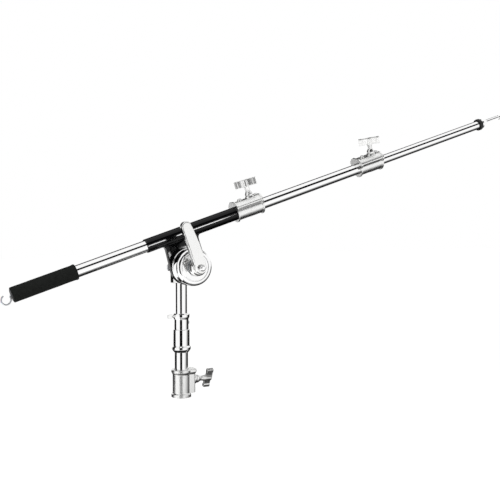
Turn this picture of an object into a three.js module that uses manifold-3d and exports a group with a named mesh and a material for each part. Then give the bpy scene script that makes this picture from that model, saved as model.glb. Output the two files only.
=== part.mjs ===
// Overhead boom arm for film and camera grip work: a telescopic boom held by a lever-locked
// tilting head on top of a short column, as one scene graph of separate pieces.
// Millimetres, +Z up. The origin is the centre of the column socket's lower face. The boom
// points along +X and rises towards its tip. The lever side of the head faces -Y.

import * as THREE from 'three';
import { mergeVertices, toCreasedNormals } from 'three/addons/utils/BufferGeometryUtils.js';
import Module from 'manifold-3d';

const wasm = await Module();
wasm.setup();

// Driving dimensions

const GAP = 0.3; // running or seating clearance between two pieces
const FINE = 24; // facets round a large turned piece
const MEDIUM = 18; // facets round a handle or an inner piece
const COARSE = 12; // facets round a small turned piece
const CHAMFER_LIMIT = 3; // edges rounded no more than this are plain chamfers

// Head and pivot
const BOOM_TILT = 18.4; // degrees above level, as stored
const PIVOT_TO_BOOM = 100; // boom axis above the pivot axis, square to the boom
const BOOM_OFFSET = 55; // boom plane in front of the column axis
const HEAD_RADIUS = 34;
const HEAD_BELOW = 52;
const HEAD_ABOVE = 36;
const HEAD_BOSS_RADIUS = 46;
const HEAD_BOSS_FRONT = 42;
const STUD_RADIUS = 8;
const STUD_TIP_RADIUS = 5;
const STUD_GRIP = 24; // length of the stud held in the head
const REAR_DISC_THICKNESS = 3;
const FRONT_DISC_THICKNESS = 2;
const CROSS_BOLT_RADIUS = 5;
const CROSS_BOLT_DROP = 5; // cross bolt below the pivot axis
const CROSS_BOLT_HEAD_FLATS = 18.5;
const CROSS_BOLT_HEAD_HEIGHT = 7.5;

// Tilting plate and clutch
const PLATE_RADIUS = 56.5;
const PLATE_THICKNESS = 18.8;
const DRUM_RADIUS = 56;
const DRUM_BACK_RADIUS = 54;
const DRUM_LENGTH = 45;
const DRUM_WALL = 7;
const DRUM_GROOVE_RADIUS = 41;
const HUB_RADIUS = 25;
const THRUST_WASHER_THICKNESS = 3;
const DISC_SPRING_COUNT = 4;
const DISC_SPRING_THICKNESS = 2;
const LEVER_HUB_LENGTH = 19;
const LEVER_THICKNESS = 17.6;
const LEVER_LENGTH = 127; // between the centres of the lever's two round ends
const LEVER_EYE_RADIUS = 17.2;
const LEVER_TIP_RADIUS = 15;
const LEVER_BELLY = 5; // how far the leading edge swells
const LEVER_LEAN = 20.2; // degrees from upright, as stored
const CAP_NUT_HEIGHT = 11;

// Boom tubes, measured along the boom from the foot of the pivot's perpendicular
const MAIN_TUBE_RADIUS = 17.5;
const MAIN_TUBE_WALL = 1.5;
const MAIN_TUBE_REAR = -503;
const INNER_TUBE_RADIUS = 15;
const INNER_TUBE_WALL = 1.5;
const INNER_TUBE_REAR = 130;
const INNER_TUBE_FRONT = 1236;
const SLEEVE_RADIUS = 20.5;
const SLEEVE_WALL = 1.6;
const SLEEVE_REAR = -106;
const NECK_TAPER = 5; // how much the neck's rear edge draws in towards the sleeve
const GLIDE_LENGTH = 30;

// Locking collars
const COLLAR_1_REAR = 196.5;
const COLLAR_2_REAR = 670.5;
const COLLAR_LENGTH = 94;
const COLLAR_RADIUS = 24;
const COLLAR_1_LEAN = 0; // degrees that a collar's handle leans towards the lever side
const COLLAR_2_LEAN = 12;
const HOUSING_RADIUS = 35;
const HOUSING_HALF_ANGLE = 73; // degrees each side of the handle
const HOUSING_TOP = 32; // flat pad on the housing, above the boom axis
const COLLAR_STEP = 0.7; // step round the middle of a collar's barrel
const FLANGE_RISE = 4;
const FLANGE_WIDTH = 5;
const HANDLE_FROM_FRONT = 29.5; // handle's axis behind a collar's front face
const DOME_FROM_FRONT = 8;
const DOME_FROM_REAR = 28;

// Shoe, screw and T-handle, shared by the collars and the stand clamp
const SHOE_LENGTH = 36;
const SHOE_WIDTH = 16;
const SHOE_THICKNESS = 5.5;
const SHOE_TO_SEAT = 4; // solid metal between a shoe's pocket and the next bore
const HANDLE_IN_COLLAR = COLLAR_LENGTH - HANDLE_FROM_FRONT;
const COLLAR_SEAT = HANDLE_IN_COLLAR - SHOE_LENGTH / 2 - SHOE_TO_SEAT; // takes the carrying tube
const SCREW_PITCH_ROOM = 2.6; // room in which a slackened shoe lifts
const SCREW_RADIUS = 5;
const HANDLE_BOSS_RADIUS = 13;
const HANDLE_BOSS_RISE = 5.5;
const HANDLE_BELL_RADIUS = 12.2;
const HANDLE_NECK_RADIUS = 6.4;
const HANDLE_NECK_HEIGHT = 15;
const HANDLE_STEM_HEIGHT = 30;
const HANDLE_WING_HEIGHT = 21;
const HANDLE_WING_SPAN = 68;
const HANDLE_WING_THICKNESS = 7;
const HANDLE_WING_OFFSET = 2.6; // each blade stands off the centre line
const HANDLE_TURNS = [26, 35, 38]; // degrees that each handle is turned, as stored

// Grip, rear end and hook
const GRIP_LENGTH = 184;
const GRIP_RADIUS = 21.9;
const GRIP_CUFF_RISE = 0.9;
const GRIP_CUFF_LENGTH = 7;
const PLUG_FLANGE = 3;
const PLUG_LENGTH = 24;
const HOOK_WIRE_RADIUS = 2;
const HOOK_RING_RADIUS = 12.8;
const HOOK_RING_ARC = 248; // degrees of ring from the bend to the free end
const HOOK_RING_DROP = 7; // ring centre below the boom axis
const HOOK_SHANK_OUT = 4; // wire's centre line behind the plug where it runs down

// Tip
const STOP_RING_RADIUS = 20.5;
const STOP_RING_WIDTH = 12;
const STOP_RING_FROM_END = 15; // ring's rear face behind the inner tube's end
const TIP_CAP_RADIUS = 16.6;
const TIP_CAP_LENGTH = 25;
const TIP_CAP_SHANK = 30;
const SPIGOT_RADIUS = 8;
const SPIGOT_LENGTH = 75;
const SPIGOT_GROOVE_DEPTH = 1.6;
const SPIGOT_GROOVE_WIDTH = 6;
const SPIGOT_GROOVE_FROM_END = 8;

// Column
const COLUMN_TUBE_RADIUS = 17.5;
const COLUMN_TUBE_WALL = 2;
const COLUMN_TUBE_IN_RISER = 83; // length of column tube below the receiver
const RISER_TUBE_RADIUS = 20.2;
const RISER_TUBE_WALL = 2;
const RISER_TUBE_FOOT = 32;
const RECEIVER_TOP_DROP = 146; // receiver's upper lip below the pivot axis
const RECEIVER_HEIGHT = 49;
const RECEIVER_RADIUS = 22;
const RECEIVER_LIP_RADIUS = 25;
const RECEIVER_LIP_HEIGHT = 18;
const RECEIVER_SPIGOT_LENGTH = 18;
const RISER_CAP_RADIUS = 25;
const RISER_CAP_HEIGHT = 69.7;
const RISER_CAP_LIP_RADIUS = 28.5;
const RISER_CAP_LIP_HEIGHT = 20;
const THUMB_SCREW_RADIUS = 3;
const THUMB_SCREW_DROP = 9; // thumb screw below the receiver's upper lip
const THUMB_TAB_LENGTH = 17;
const THUMB_TAB_HEIGHT = 12;
const THUMB_TAB_THICKNESS = 3;
const SET_SCREW_DROP = 29;
const SET_SCREW_RADIUS = 2.5;

// Stand clamp
const CLAMP_HEIGHT = 84;
const CLAMP_RADIUS = 26.8;
const CLAMP_HOUSING_RADIUS = 42;
const CLAMP_HOUSING_HALF_WIDTH = 19;
const CLAMP_FLANGE_HEIGHT = 15;
const CLAMP_SOCKET_RADIUS = 22.8;
const CLAMP_SOCKET_DEPTH = 28;
const RISER_BUSH_WALL = 1.8;
const RISER_BUSH_HEIGHT = 12;
const SHOE_TO_BUSH = 4;
const CLAMP_HANDLE_HEIGHT = CLAMP_HEIGHT - RISER_BUSH_HEIGHT - SHOE_TO_BUSH - SHOE_LENGTH / 2;

// Pivot axis above the socket's lower face, as stored with this much of the riser showing
const RISER_SHOWING = 53;
const PIVOT_HEIGHT = CLAMP_HEIGHT + RISER_SHOWING + RISER_CAP_HEIGHT + GAP + RECEIVER_HEIGHT
  + RECEIVER_TOP_DROP;

// Finishes

const finish = (color, roughness, metalness) => ({ color, roughness, metalness });
const CHROME = finish(0xe8eaec, 0.06, 1);
const CAST_CHROME = finish(0xdfe1e2, 0.16, 1);
const BLACK_COAT = finish(0x0c0c0d, 0.3, 0);
const FOAM = finish(0x1c1d1c, 0.95, 0);
const RUBBER = finish(0x121212, 0.8, 0);
const NYLON = finish(0x26272a, 0.55, 0);
const BRASS = finish(0xb08a45, 0.3, 1);
const STEEL = finish(0xb4b7ba, 0.28, 1);
const FRICTION = finish(0x5a4a3c, 0.9, 0);

// Geometry helpers

const radians = THREE.MathUtils.degToRad;

// Corners are [x, y] or [x, y, fillet radius]. Gives the outline with an arc at each fillet.
function rounded(corners, closed = true) {
  const outline = [];
  corners.forEach(([x, y, radius = 0], i) => {
    const corner = new THREE.Vector2(x, y);
    const before = corners[(i - 1 + corners.length) % corners.length];
    const after = corners[(i + 1) % corners.length];
    if (radius === 0) {
      outline.push(corner);
      return;
    }
    const toBefore = new THREE.Vector2(before[0] - x, before[1] - y).normalize();
    const toAfter = new THREE.Vector2(after[0] - x, after[1] - y).normalize();
    const half = Math.acos(THREE.MathUtils.clamp(toBefore.dot(toAfter), -1, 1)) / 2;
    const centre = toBefore.clone().add(toAfter).normalize().multiplyScalar(radius / Math.sin(half));
    centre.add(corner);
    const reach = radius / Math.tan(half);
    const start = toBefore.multiplyScalar(reach).add(corner).sub(centre);
    const end = toAfter.multiplyScalar(reach).add(corner).sub(centre);
    const sweep = Math.atan2(start.cross(end), start.dot(end));
    const steps = radius <= CHAMFER_LIMIT ? 1 : Math.ceil(Math.abs(sweep) / radians(40));
    for (let k = 0; k <= steps; k += 1) {
      const spoke = start.clone().rotateAround(new THREE.Vector2(), (sweep * k) / steps);
      outline.push(spoke.add(centre));
    }
  });
  if (closed) {
    outline.push(outline[0].clone());
  }
  return outline;
}

// Turns a geometry into a solid: shared vertices merged, slivers dropped, faces outwards.
function solid(geometry) {
  const bare = geometry.index ? geometry.toNonIndexed() : geometry.clone();
  bare.deleteAttribute('normal');
  bare.deleteAttribute('uv');
  const merged = mergeVertices(bare, 1e-4);
  const points = merged.attributes.position.array;
  const index = merged.index.array;
  const corner = (i) => new THREE.Vector3().fromArray(points, 3 * i);
  const faces = [];
  let volume = 0;
  for (let i = 0; i < index.length; i += 3) {
    const [a, b, c] = [index[i], index[i + 1], index[i + 2]];
    if (a !== b && b !== c && c !== a) {
      faces.push(a, b, c);
      volume += corner(a).dot(corner(b).cross(corner(c)));
    }
  }
  if (volume < 0) {
    faces.reverse();
  }
  return new wasm.Manifold(new wasm.Mesh({
    numProp: 3,
    vertProperties: Float32Array.from(points),
    triVerts: Uint32Array.from(faces),
  }));
}

// Gives back the mesh of a solid as a named piece.
function piece(name, body, look) {
  const { vertProperties, triVerts } = body.getMesh();
  const geometry = new THREE.BufferGeometry();
  geometry.setAttribute('position', new THREE.BufferAttribute(vertProperties, 3));
  geometry.setIndex(new THREE.BufferAttribute(triVerts, 1));
  const material = new THREE.MeshStandardMaterial(look);
  const mesh = new THREE.Mesh(toCreasedNormals(geometry, radians(35)), material);
  mesh.name = name;
  return mesh;
}

// Directions in which a turned or extruded piece can lie. Each matrix carries +Z there.
const AXIS = {
  up: new THREE.Matrix4(),
  right: new THREE.Matrix4().makeBasis(
    new THREE.Vector3(0, 1, 0), new THREE.Vector3(0, 0, 1), new THREE.Vector3(1, 0, 0)),
  front: new THREE.Matrix4().makeBasis(
    new THREE.Vector3(1, 0, 0), new THREE.Vector3(0, 0, 1), new THREE.Vector3(0, -1, 0)),
};

// Revolves corners [radius, height, fillet] about an axis.
function turned(corners, axis = AXIS.up, facets = FINE) {
  const geometry = new THREE.LatheGeometry(rounded(corners), facets);
  geometry.rotateX(Math.PI / 2);
  return solid(geometry.applyMatrix4(axis));
}

// A round bar or a tube between two heights on an axis.
function bar(radius, from, to, axis = AXIS.up, facets = FINE) {
  return turned([[0, from], [radius, from], [radius, to], [0, to]], axis, facets);
}

function tube(inner, outer, from, to, axis = AXIS.up, facets = FINE, edge = 0) {
  return turned([
    [outer, from, edge], [outer, to, edge], [inner, to], [inner, from],
  ], axis, facets);
}

// Pushes a flat outline along an axis, with an optional rounded edge inside the outline.
function pushed(outline, from, to, axis = AXIS.up, edge = 0, edgeSteps = 2) {
  const shape = outline instanceof THREE.Shape ? outline : new THREE.Shape(outline);
  const geometry = new THREE.ExtrudeGeometry(shape, {
    depth: to - from - 2 * edge,
    bevelEnabled: edge > 0,
    bevelThickness: edge,
    bevelSize: edge,
    bevelOffset: -edge,
    bevelSegments: edgeSteps,
    curveSegments: 8,
  });
  geometry.translate(0, 0, from + edge);
  return solid(geometry.applyMatrix4(axis));
}

function box(width, depth, height, x, y, z) {
  return solid(new THREE.BoxGeometry(width, depth, height).translate(x, y, z));
}

// A sector of a ring, centred on +Y of its own plane.
function sector(inner, outer, halfAngle, edge) {
  const half = radians(halfAngle);
  const spoke = (radius, angle, fillet) => [radius * Math.sin(angle), radius * Math.cos(angle), fillet];
  const steps = Math.ceil(halfAngle / 11);
  const corners = [spoke(inner, half, 0)];
  for (let i = 0; i <= steps; i += 1) {
    const end = i === 0 || i === steps;
    corners.push(spoke(outer, half - (2 * half * i) / steps, end ? edge : 0));
  }
  corners.push(spoke(inner, -half, 0), spoke(inner * 0.6, 0, 0));
  return rounded(corners);
}

const hexagon = (flats) => new THREE.Shape(
  Array.from({ length: 6 }, (_, i) => new THREE.Vector2(flats / Math.sqrt(3), 0)
    .rotateAround(new THREE.Vector2(), radians(30 + 60 * i))));

// Locking gear: shoe, screw and T-handle, with the handle along +Z and the tube along X

// Brass shoe whose underside fits the tube that it grips.
function shoeSolid(tubeRadius) {
  const foot = tubeRadius + GAP;
  const top = foot + SHOE_THICKNESS;
  const block = box(SHOE_LENGTH, SHOE_WIDTH, top, 0, 0, top / 2);
  return block.subtract(bar(foot, -SHOE_LENGTH, SHOE_LENGTH, AXIS.right));
}

const shoeTop = (tubeRadius) => tubeRadius + GAP + SHOE_THICKNESS;

// Room in a casting for the shoe and its screw.
function shoePocket(tubeRadius, outside) {
  const top = shoeTop(tubeRadius) + SCREW_PITCH_ROOM;
  const pocket = box(SHOE_LENGTH + 2 * GAP, SHOE_WIDTH + 2 * GAP, top, 0, 0, top / 2);
  return pocket.add(bar(SCREW_RADIUS + GAP, top - 1, outside + 1, AXIS.up, COARSE));
}

// Screw from the shoe up into the handle.
function screwSolid(tubeRadius, handleFoot) {
  const foot = shoeTop(tubeRadius) + GAP;
  const head = handleFoot + HANDLE_NECK_HEIGHT + 6;
  return turned([
    [0, foot], [SCREW_RADIUS - 1, foot], [SCREW_RADIUS, foot + 1], [SCREW_RADIUS, head], [0, head],
  ], AXIS.up, COARSE);
}

// One blade of the handle in plan. It stands off the centre line and thickens to its end.
function bladeOutline(side) {
  const tip = HANDLE_WING_SPAN / 2;
  const near = HANDLE_WING_OFFSET - HANDLE_WING_THICKNESS / 2;
  const far = HANDLE_WING_OFFSET + HANDLE_WING_THICKNESS / 2;
  const corners = [
    [0, near - 2], [tip * 0.45, near, 6], [tip, near - 0.6, 2], [tip, far + 0.6, 3],
    [tip * 0.45, far, 6], [0, far + 2.5],
  ];
  return rounded(corners.map(([x, y, radius]) => [side * x, side * y, radius]));
}

// Cast T-handle: a bell skirt, a waisted neck, a conical stem and a two-bladed wing.
function handleSolid(handleFoot) {
  const neck = handleFoot + HANDLE_NECK_HEIGHT;
  const stem = handleFoot + HANDLE_STEM_HEIGHT;
  const top = stem + HANDLE_WING_HEIGHT;
  const stemRadius = 1.5 * HANDLE_NECK_RADIUS;
  const body = turned([
    [0, handleFoot],
    [HANDLE_BELL_RADIUS - 1, handleFoot],
    [HANDLE_BELL_RADIUS, handleFoot + 1],
    [HANDLE_BELL_RADIUS, handleFoot + 5, 5],
    [HANDLE_NECK_RADIUS + 1.6, neck - 1.5],
    [HANDLE_NECK_RADIUS, neck],
    [HANDLE_NECK_RADIUS + 0.8, neck + 1.5],
    [stemRadius, stem],
    [stemRadius * 0.9, top - 1],
    [0, top - 1],
  ], AXIS.up, MEDIUM);
  const blades = [1, -1].map((side) => pushed(bladeOutline(side), stem, top, AXIS.up, 1.2, 1));
  const cast = body.add(blades[0]).add(blades[1]);
  const hole = neck + 6 + GAP;
  return cast.subtract(bar(SCREW_RADIUS + GAP, handleFoot - 1, hole, AXIS.up, COARSE));
}

// Lobe of a collar: a sector with a flat pad across its top.
function housingSolid(rise, from, to, edge) {
  const shape = sector(COLLAR_RADIUS - 2, HOUSING_RADIUS + rise, HOUSING_HALF_ANGLE + rise, 4);
  const width = 3 * HOUSING_RADIUS;
  const below = box(width, width, width, 0, 0, HOUSING_TOP + rise - width / 2);
  return pushed(shape, from, to, AXIS.right, edge, 1)
    .intersect(below.translate([COLLAR_LENGTH / 2, 0, 0]));
}

// Collar casting along X from 0, open for two bores that meet at the seat depth.
function collarSolid(seatRadius, boreRadius) {
  const middle = COLLAR_LENGTH / 2;
  const bossTop = HOUSING_TOP + HANDLE_BOSS_RISE;
  const flange = COLLAR_RADIUS + FLANGE_RISE;
  const step = COLLAR_RADIUS + COLLAR_STEP;
  let cast = turned([
    [0, 0], [flange, 0], [flange, FLANGE_WIDTH], [COLLAR_RADIUS, FLANGE_WIDTH],
    [COLLAR_RADIUS, middle], [step, middle], [step, COLLAR_LENGTH - FLANGE_WIDTH],
    [flange, COLLAR_LENGTH - FLANGE_WIDTH], [flange, COLLAR_LENGTH], [0, COLLAR_LENGTH],
  ], AXIS.right).add(housingSolid(0, 0, COLLAR_LENGTH, 0));
  for (const start of [0, COLLAR_LENGTH - FLANGE_WIDTH]) {
    cast = cast.add(housingSolid(FLANGE_RISE, start, start + FLANGE_WIDTH, 1.2));
  }
  const boss = turned([
    [0, COLLAR_RADIUS], [HANDLE_BOSS_RADIUS + 3, COLLAR_RADIUS],
    [HANDLE_BOSS_RADIUS + 2, HOUSING_TOP], [HANDLE_BOSS_RADIUS, bossTop, 1.5], [0, bossTop],
  ], AXIS.up, MEDIUM);
  cast = cast.add(boss.translate([HANDLE_IN_COLLAR, 0, 0]));
  for (const x of [DOME_FROM_REAR, COLLAR_LENGTH - DOME_FROM_FRONT]) {
    const dome = turned([
      [0, COLLAR_RADIUS], [7.5, COLLAR_RADIUS], [7.5, bossTop + 1, 5], [0, bossTop + 1],
    ], AXIS.up, COARSE);
    cast = cast.add(dome.translate([x, 0, 0]));
  }
  return cast
    .subtract(bar(seatRadius, -1, COLLAR_SEAT, AXIS.right))
    .subtract(bar(boreRadius, COLLAR_SEAT - 1, COLLAR_LENGTH + 1, AXIS.right))
    .subtract(shoePocket(boreRadius - GAP, bossTop).translate([HANDLE_IN_COLLAR, 0, 0]));
}

// The casting and its shoe, screw and handle as one leaning group on the boom.
function collarGroup(number, rear, lean, seatRadius, tubeRadius) {
  const group = new THREE.Group();
  const handleFoot = HOUSING_TOP + HANDLE_BOSS_RISE + GAP;
  group.position.set(rear, 0, PIVOT_TO_BOOM);
  group.rotation.x = radians(lean);
  const handle = piece(`t_handle_${number}`, handleSolid(handleFoot), CAST_CHROME);
  handle.rotation.z = -radians(HANDLE_TURNS[number]);
  const gear = [
    piece(`brake_shoe_${number}`, shoeSolid(tubeRadius), BRASS),
    piece(`clamp_screw_${number}`, screwSolid(tubeRadius, handleFoot), STEEL),
    handle,
  ];
  gear.forEach((mesh) => mesh.position.setX(HANDLE_IN_COLLAR));
  const casting = collarSolid(seatRadius + GAP, tubeRadius + GAP);
  group.add(piece(`collar_${number}`, casting, CAST_CHROME), ...gear);
  return group;
}

// Stand clamp: the lower casting on the column, handle along +X

// Stands a solid made with its handle along +Z and its tube along X onto the column.
const STAND_UP = new THREE.Matrix4().makeBasis(
  new THREE.Vector3(0, 0, 1), new THREE.Vector3(0, 1, 0).negate(), new THREE.Vector3(1, 0, 0));

function onColumn(body) {
  return body.transform(STAND_UP.elements).translate([0, 0, CLAMP_HANDLE_HEIGHT]);
}

// The shoe's housing beside the barrel: parallel walls and a front rounded about the column.
function clampHousing(rise, from, to, edge) {
  const half = CLAMP_HOUSING_HALF_WIDTH + rise;
  const front = CLAMP_HOUSING_RADIUS + rise;
  const corner = Math.sqrt(front * front - half * half);
  return pushed(rounded([
    [0, -half], [corner, -half, 5], [front, -half * 0.4], [front, half * 0.4],
    [corner, half, 5], [0, half],
  ]), from, to, AXIS.up, edge);
}

function standClamp() {
  const bossTop = CLAMP_HOUSING_RADIUS + HANDLE_BOSS_RISE;
  const flangeFoot = CLAMP_HEIGHT - CLAMP_FLANGE_HEIGHT;
  const bore = RISER_TUBE_RADIUS + GAP;
  const bushPocket = bore + RISER_BUSH_WALL + GAP;
  const body = turned([
    [0, 0], [CLAMP_RADIUS + FLANGE_RISE, 0], [CLAMP_RADIUS + FLANGE_RISE, 9],
    [CLAMP_RADIUS, 12], [CLAMP_RADIUS, flangeFoot, 4],
    [CLAMP_RADIUS + FLANGE_RISE, CLAMP_HEIGHT - 8],
    [CLAMP_RADIUS + FLANGE_RISE, CLAMP_HEIGHT, 2], [0, CLAMP_HEIGHT],
  ]);
  const boss = turned([
    [0, CLAMP_RADIUS], [HANDLE_BOSS_RADIUS + 2, CLAMP_RADIUS],
    [HANDLE_BOSS_RADIUS, bossTop, 1.5], [0, bossTop],
  ], AXIS.up, MEDIUM);
  return body
    .add(clampHousing(0, 6, CLAMP_HEIGHT - 4, 0))
    .add(clampHousing(FLANGE_RISE, CLAMP_HEIGHT - 8, CLAMP_HEIGHT, 2))
    .add(onColumn(boss))
    .subtract(bar(CLAMP_SOCKET_RADIUS, -1, CLAMP_SOCKET_DEPTH))
    .subtract(bar(bore, CLAMP_SOCKET_DEPTH - 1, CLAMP_HEIGHT + 1))
    .subtract(bar(bushPocket, CLAMP_HEIGHT - RISER_BUSH_HEIGHT - GAP, CLAMP_HEIGHT + 1))
    .subtract(onColumn(shoePocket(RISER_TUBE_RADIUS, bossTop)));
}

function standClampGroup() {
  const group = new THREE.Group();
  const handleFoot = CLAMP_HOUSING_RADIUS + HANDLE_BOSS_RISE + GAP;
  const bore = RISER_TUBE_RADIUS + GAP;
  const bush = tube(bore, bore + RISER_BUSH_WALL, CLAMP_HEIGHT - RISER_BUSH_HEIGHT, CLAMP_HEIGHT);
  const handle = handleSolid(handleFoot).rotate([0, 0, HANDLE_TURNS[0]]);
  group.add(
    piece('stand_clamp', standClamp(), CAST_CHROME),
    piece('riser_bush', bush, NYLON),
    piece('brake_shoe_0', onColumn(shoeSolid(RISER_TUBE_RADIUS)), BRASS),
    piece('clamp_screw_0', onColumn(screwSolid(RISER_TUBE_RADIUS, handleFoot)), STEEL),
    piece('t_handle_0', onColumn(handle), CAST_CHROME),
  );
  return group;
}

// Riser and receiver

function riserGroup() {
  const group = new THREE.Group();
  const top = PIVOT_HEIGHT - RECEIVER_TOP_DROP;
  const seam = top - RECEIVER_HEIGHT;
  const capFoot = seam - RISER_CAP_HEIGHT - GAP;
  const bore = COLUMN_TUBE_RADIUS + GAP;
  const capBore = RISER_TUBE_RADIUS + GAP;
  const spigotFoot = seam - RECEIVER_SPIGOT_LENGTH;
  const riser = tube(RISER_TUBE_RADIUS - RISER_TUBE_WALL, RISER_TUBE_RADIUS,
    RISER_TUBE_FOOT, spigotFoot - GAP);
  const lipFoot = capFoot + RISER_CAP_LIP_HEIGHT;
  const cap = turned([
    [capBore, capFoot], [capBore + 1.5, capFoot, 1],
    [RISER_CAP_LIP_RADIUS, capFoot + 9, 3], [RISER_CAP_LIP_RADIUS, lipFoot - 4, 3],
    [RISER_CAP_RADIUS, lipFoot, 2], [RISER_CAP_RADIUS, seam - GAP, 1.2], [capBore, seam - GAP],
  ]);
  const lip = top - RECEIVER_LIP_HEIGHT;
  const thumbHeight = top - THUMB_SCREW_DROP;
  const screwHole = bar(THUMB_SCREW_RADIUS + GAP, -RECEIVER_LIP_RADIUS - 1, 0, AXIS.right, COARSE);
  const setHole = bar(SET_SCREW_RADIUS + GAP, 0, RECEIVER_RADIUS + 1, AXIS.right, COARSE);
  const receiver = turned([
    [bore, spigotFoot], [RISER_TUBE_RADIUS, spigotFoot], [RISER_TUBE_RADIUS, seam],
    [RECEIVER_RADIUS, seam], [RECEIVER_RADIUS, lip, 3],
    [RECEIVER_LIP_RADIUS, lip + 7, 3], [RECEIVER_LIP_RADIUS, top - 3, 2],
    [RECEIVER_LIP_RADIUS - 2.5, top, 1], [bore, top],
  ]).subtract(screwHole.translate([0, 0, thumbHeight]))
    .subtract(setHole.translate([0, 0, top - SET_SCREW_DROP]));
  const setScrew = turned([
    [0, bore + GAP], [SET_SCREW_RADIUS, bore + GAP], [SET_SCREW_RADIUS, RECEIVER_RADIUS + GAP],
    [2 * SET_SCREW_RADIUS, RECEIVER_RADIUS + GAP], [2 * SET_SCREW_RADIUS, RECEIVER_RADIUS + 3, 1],
    [0, RECEIVER_RADIUS + 3],
  ], AXIS.right, COARSE).translate([0, 0, top - SET_SCREW_DROP]);
  const padFront = bore + 3;
  const pad = bar(THUMB_SCREW_RADIUS, -padFront, -COLUMN_TUBE_RADIUS - 2 * GAP, AXIS.right, COARSE);
  const tabStart = RECEIVER_LIP_RADIUS + 2;
  const tab = pushed(rounded([
    [tabStart, -4], [tabStart + 4, -THUMB_TAB_HEIGHT / 2, 3],
    [tabStart + THUMB_TAB_LENGTH, -THUMB_TAB_HEIGHT / 2, 3],
    [tabStart + THUMB_TAB_LENGTH, THUMB_TAB_HEIGHT / 2, 3],
    [tabStart + 4, THUMB_TAB_HEIGHT / 2, 3], [tabStart, 4],
  ].map(([x, y, radius]) => [-x, y, radius])), -THUMB_TAB_THICKNESS / 2, THUMB_TAB_THICKNESS / 2,
  AXIS.front, 0.6, 1);
  const thumbScrew = bar(THUMB_SCREW_RADIUS, -tabStart - 3, -padFront - GAP, AXIS.right, COARSE)
    .add(tab);
  group.add(
    piece('riser_tube', riser, CHROME),
    piece('riser_cap', cap, CHROME),
    piece('receiver', receiver, CHROME),
    piece('receiver_set_screw', setScrew, STEEL),
    piece('thumb_pad', pad.translate([0, 0, thumbHeight]), BRASS),
    piece('thumb_screw', thumbScrew.translate([0, 0, thumbHeight]), CAST_CHROME),
  );
  return group;
}

// Head: column tube, head casting and the clutch stack on the pivot stud.
// Heights are measured from the pivot axis and stack depths from the column axis.

const plateBack = BOOM_OFFSET - PLATE_THICKNESS / 2;
const plateFront = BOOM_OFFSET + PLATE_THICKNESS / 2;
const drumBack = plateFront + FRONT_DISC_THICKNESS + 2 * GAP;
const drumFront = drumBack + DRUM_LENGTH;
const washerFront = drumFront + GAP + THRUST_WASHER_THICKNESS;
const springFront = washerFront + GAP + DISC_SPRING_COUNT * DISC_SPRING_THICKNESS;
const hubFront = springFront + GAP + LEVER_HUB_LENGTH;
const leverBack = hubFront + GAP;
const leverFront = leverBack + LEVER_THICKNESS;
const capNutFront = leverFront + GAP + CAP_NUT_HEIGHT;

function headCasting() {
  const upright = turned([
    [0, -HEAD_BELOW], [HEAD_RADIUS, -HEAD_BELOW, 3], [HEAD_RADIUS, HEAD_ABOVE, 10],
    [0, HEAD_ABOVE],
  ]);
  const boss = turned([
    [0, 0], [HEAD_RADIUS - 4, 0], [HEAD_RADIUS, HEAD_BOSS_FRONT - 14, 6],
    [HEAD_BOSS_RADIUS, HEAD_BOSS_FRONT - 9], [HEAD_BOSS_RADIUS, HEAD_BOSS_FRONT, 1.5],
    [0, HEAD_BOSS_FRONT],
  ], AXIS.front);
  const seat = HEAD_RADIUS + 0.8;
  const boltSeats = bar(0.65 * CROSS_BOLT_HEAD_FLATS, -seat, seat, AXIS.right, COARSE);
  const boltHole = bar(CROSS_BOLT_RADIUS + GAP, -seat - 1, seat + 1, AXIS.right, COARSE);
  const drop = [0, 0, -CROSS_BOLT_DROP];
  const studFoot = HEAD_BOSS_FRONT - STUD_GRIP;
  return upright
    .add(boss)
    .add(boltSeats.translate(drop))
    .subtract(bar(COLUMN_TUBE_RADIUS + GAP, -HEAD_BELOW - 1, columnTubeTop + GAP))
    .subtract(boltHole.translate(drop))
    .subtract(bar(STUD_RADIUS + GAP, studFoot, HEAD_BOSS_FRONT + 1, AXIS.front, MEDIUM));
}

const columnTubeTop = CROSS_BOLT_RADIUS + 5;

function columnTube() {
  const foot = -RECEIVER_TOP_DROP - RECEIVER_HEIGHT - COLUMN_TUBE_IN_RISER;
  const pipe = tube(COLUMN_TUBE_RADIUS - COLUMN_TUBE_WALL, COLUMN_TUBE_RADIUS, foot, columnTubeTop);
  const hole = bar(CROSS_BOLT_RADIUS + GAP, -HEAD_RADIUS, HEAD_RADIUS, AXIS.right, COARSE);
  return pipe.subtract(hole.translate([0, 0, -CROSS_BOLT_DROP]));
}

function columnEndGlide() {
  const foot = -RECEIVER_TOP_DROP - RECEIVER_HEIGHT - COLUMN_TUBE_IN_RISER;
  const rim = RISER_TUBE_RADIUS - RISER_TUBE_WALL - GAP;
  const shank = COLUMN_TUBE_RADIUS - COLUMN_TUBE_WALL - GAP;
  return turned([
    [0, foot - 5], [rim, foot - 5], [rim, foot - GAP], [shank, foot - GAP],
    [shank, foot + 14], [0, foot + 14],
  ], AXIS.up, MEDIUM);
}

function crossBolt() {
  const seat = HEAD_RADIUS + 0.8 + GAP;
  const shaftEnd = seat + CROSS_BOLT_HEAD_HEIGHT + 3;
  const head = pushed(hexagon(CROSS_BOLT_HEAD_FLATS), -seat - CROSS_BOLT_HEAD_HEIGHT, -seat,
    AXIS.right, 0.8, 1);
  return bar(CROSS_BOLT_RADIUS, -seat - 1, shaftEnd, AXIS.right, COARSE)
    .add(head)
    .translate([0, 0, -CROSS_BOLT_DROP]);
}

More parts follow.
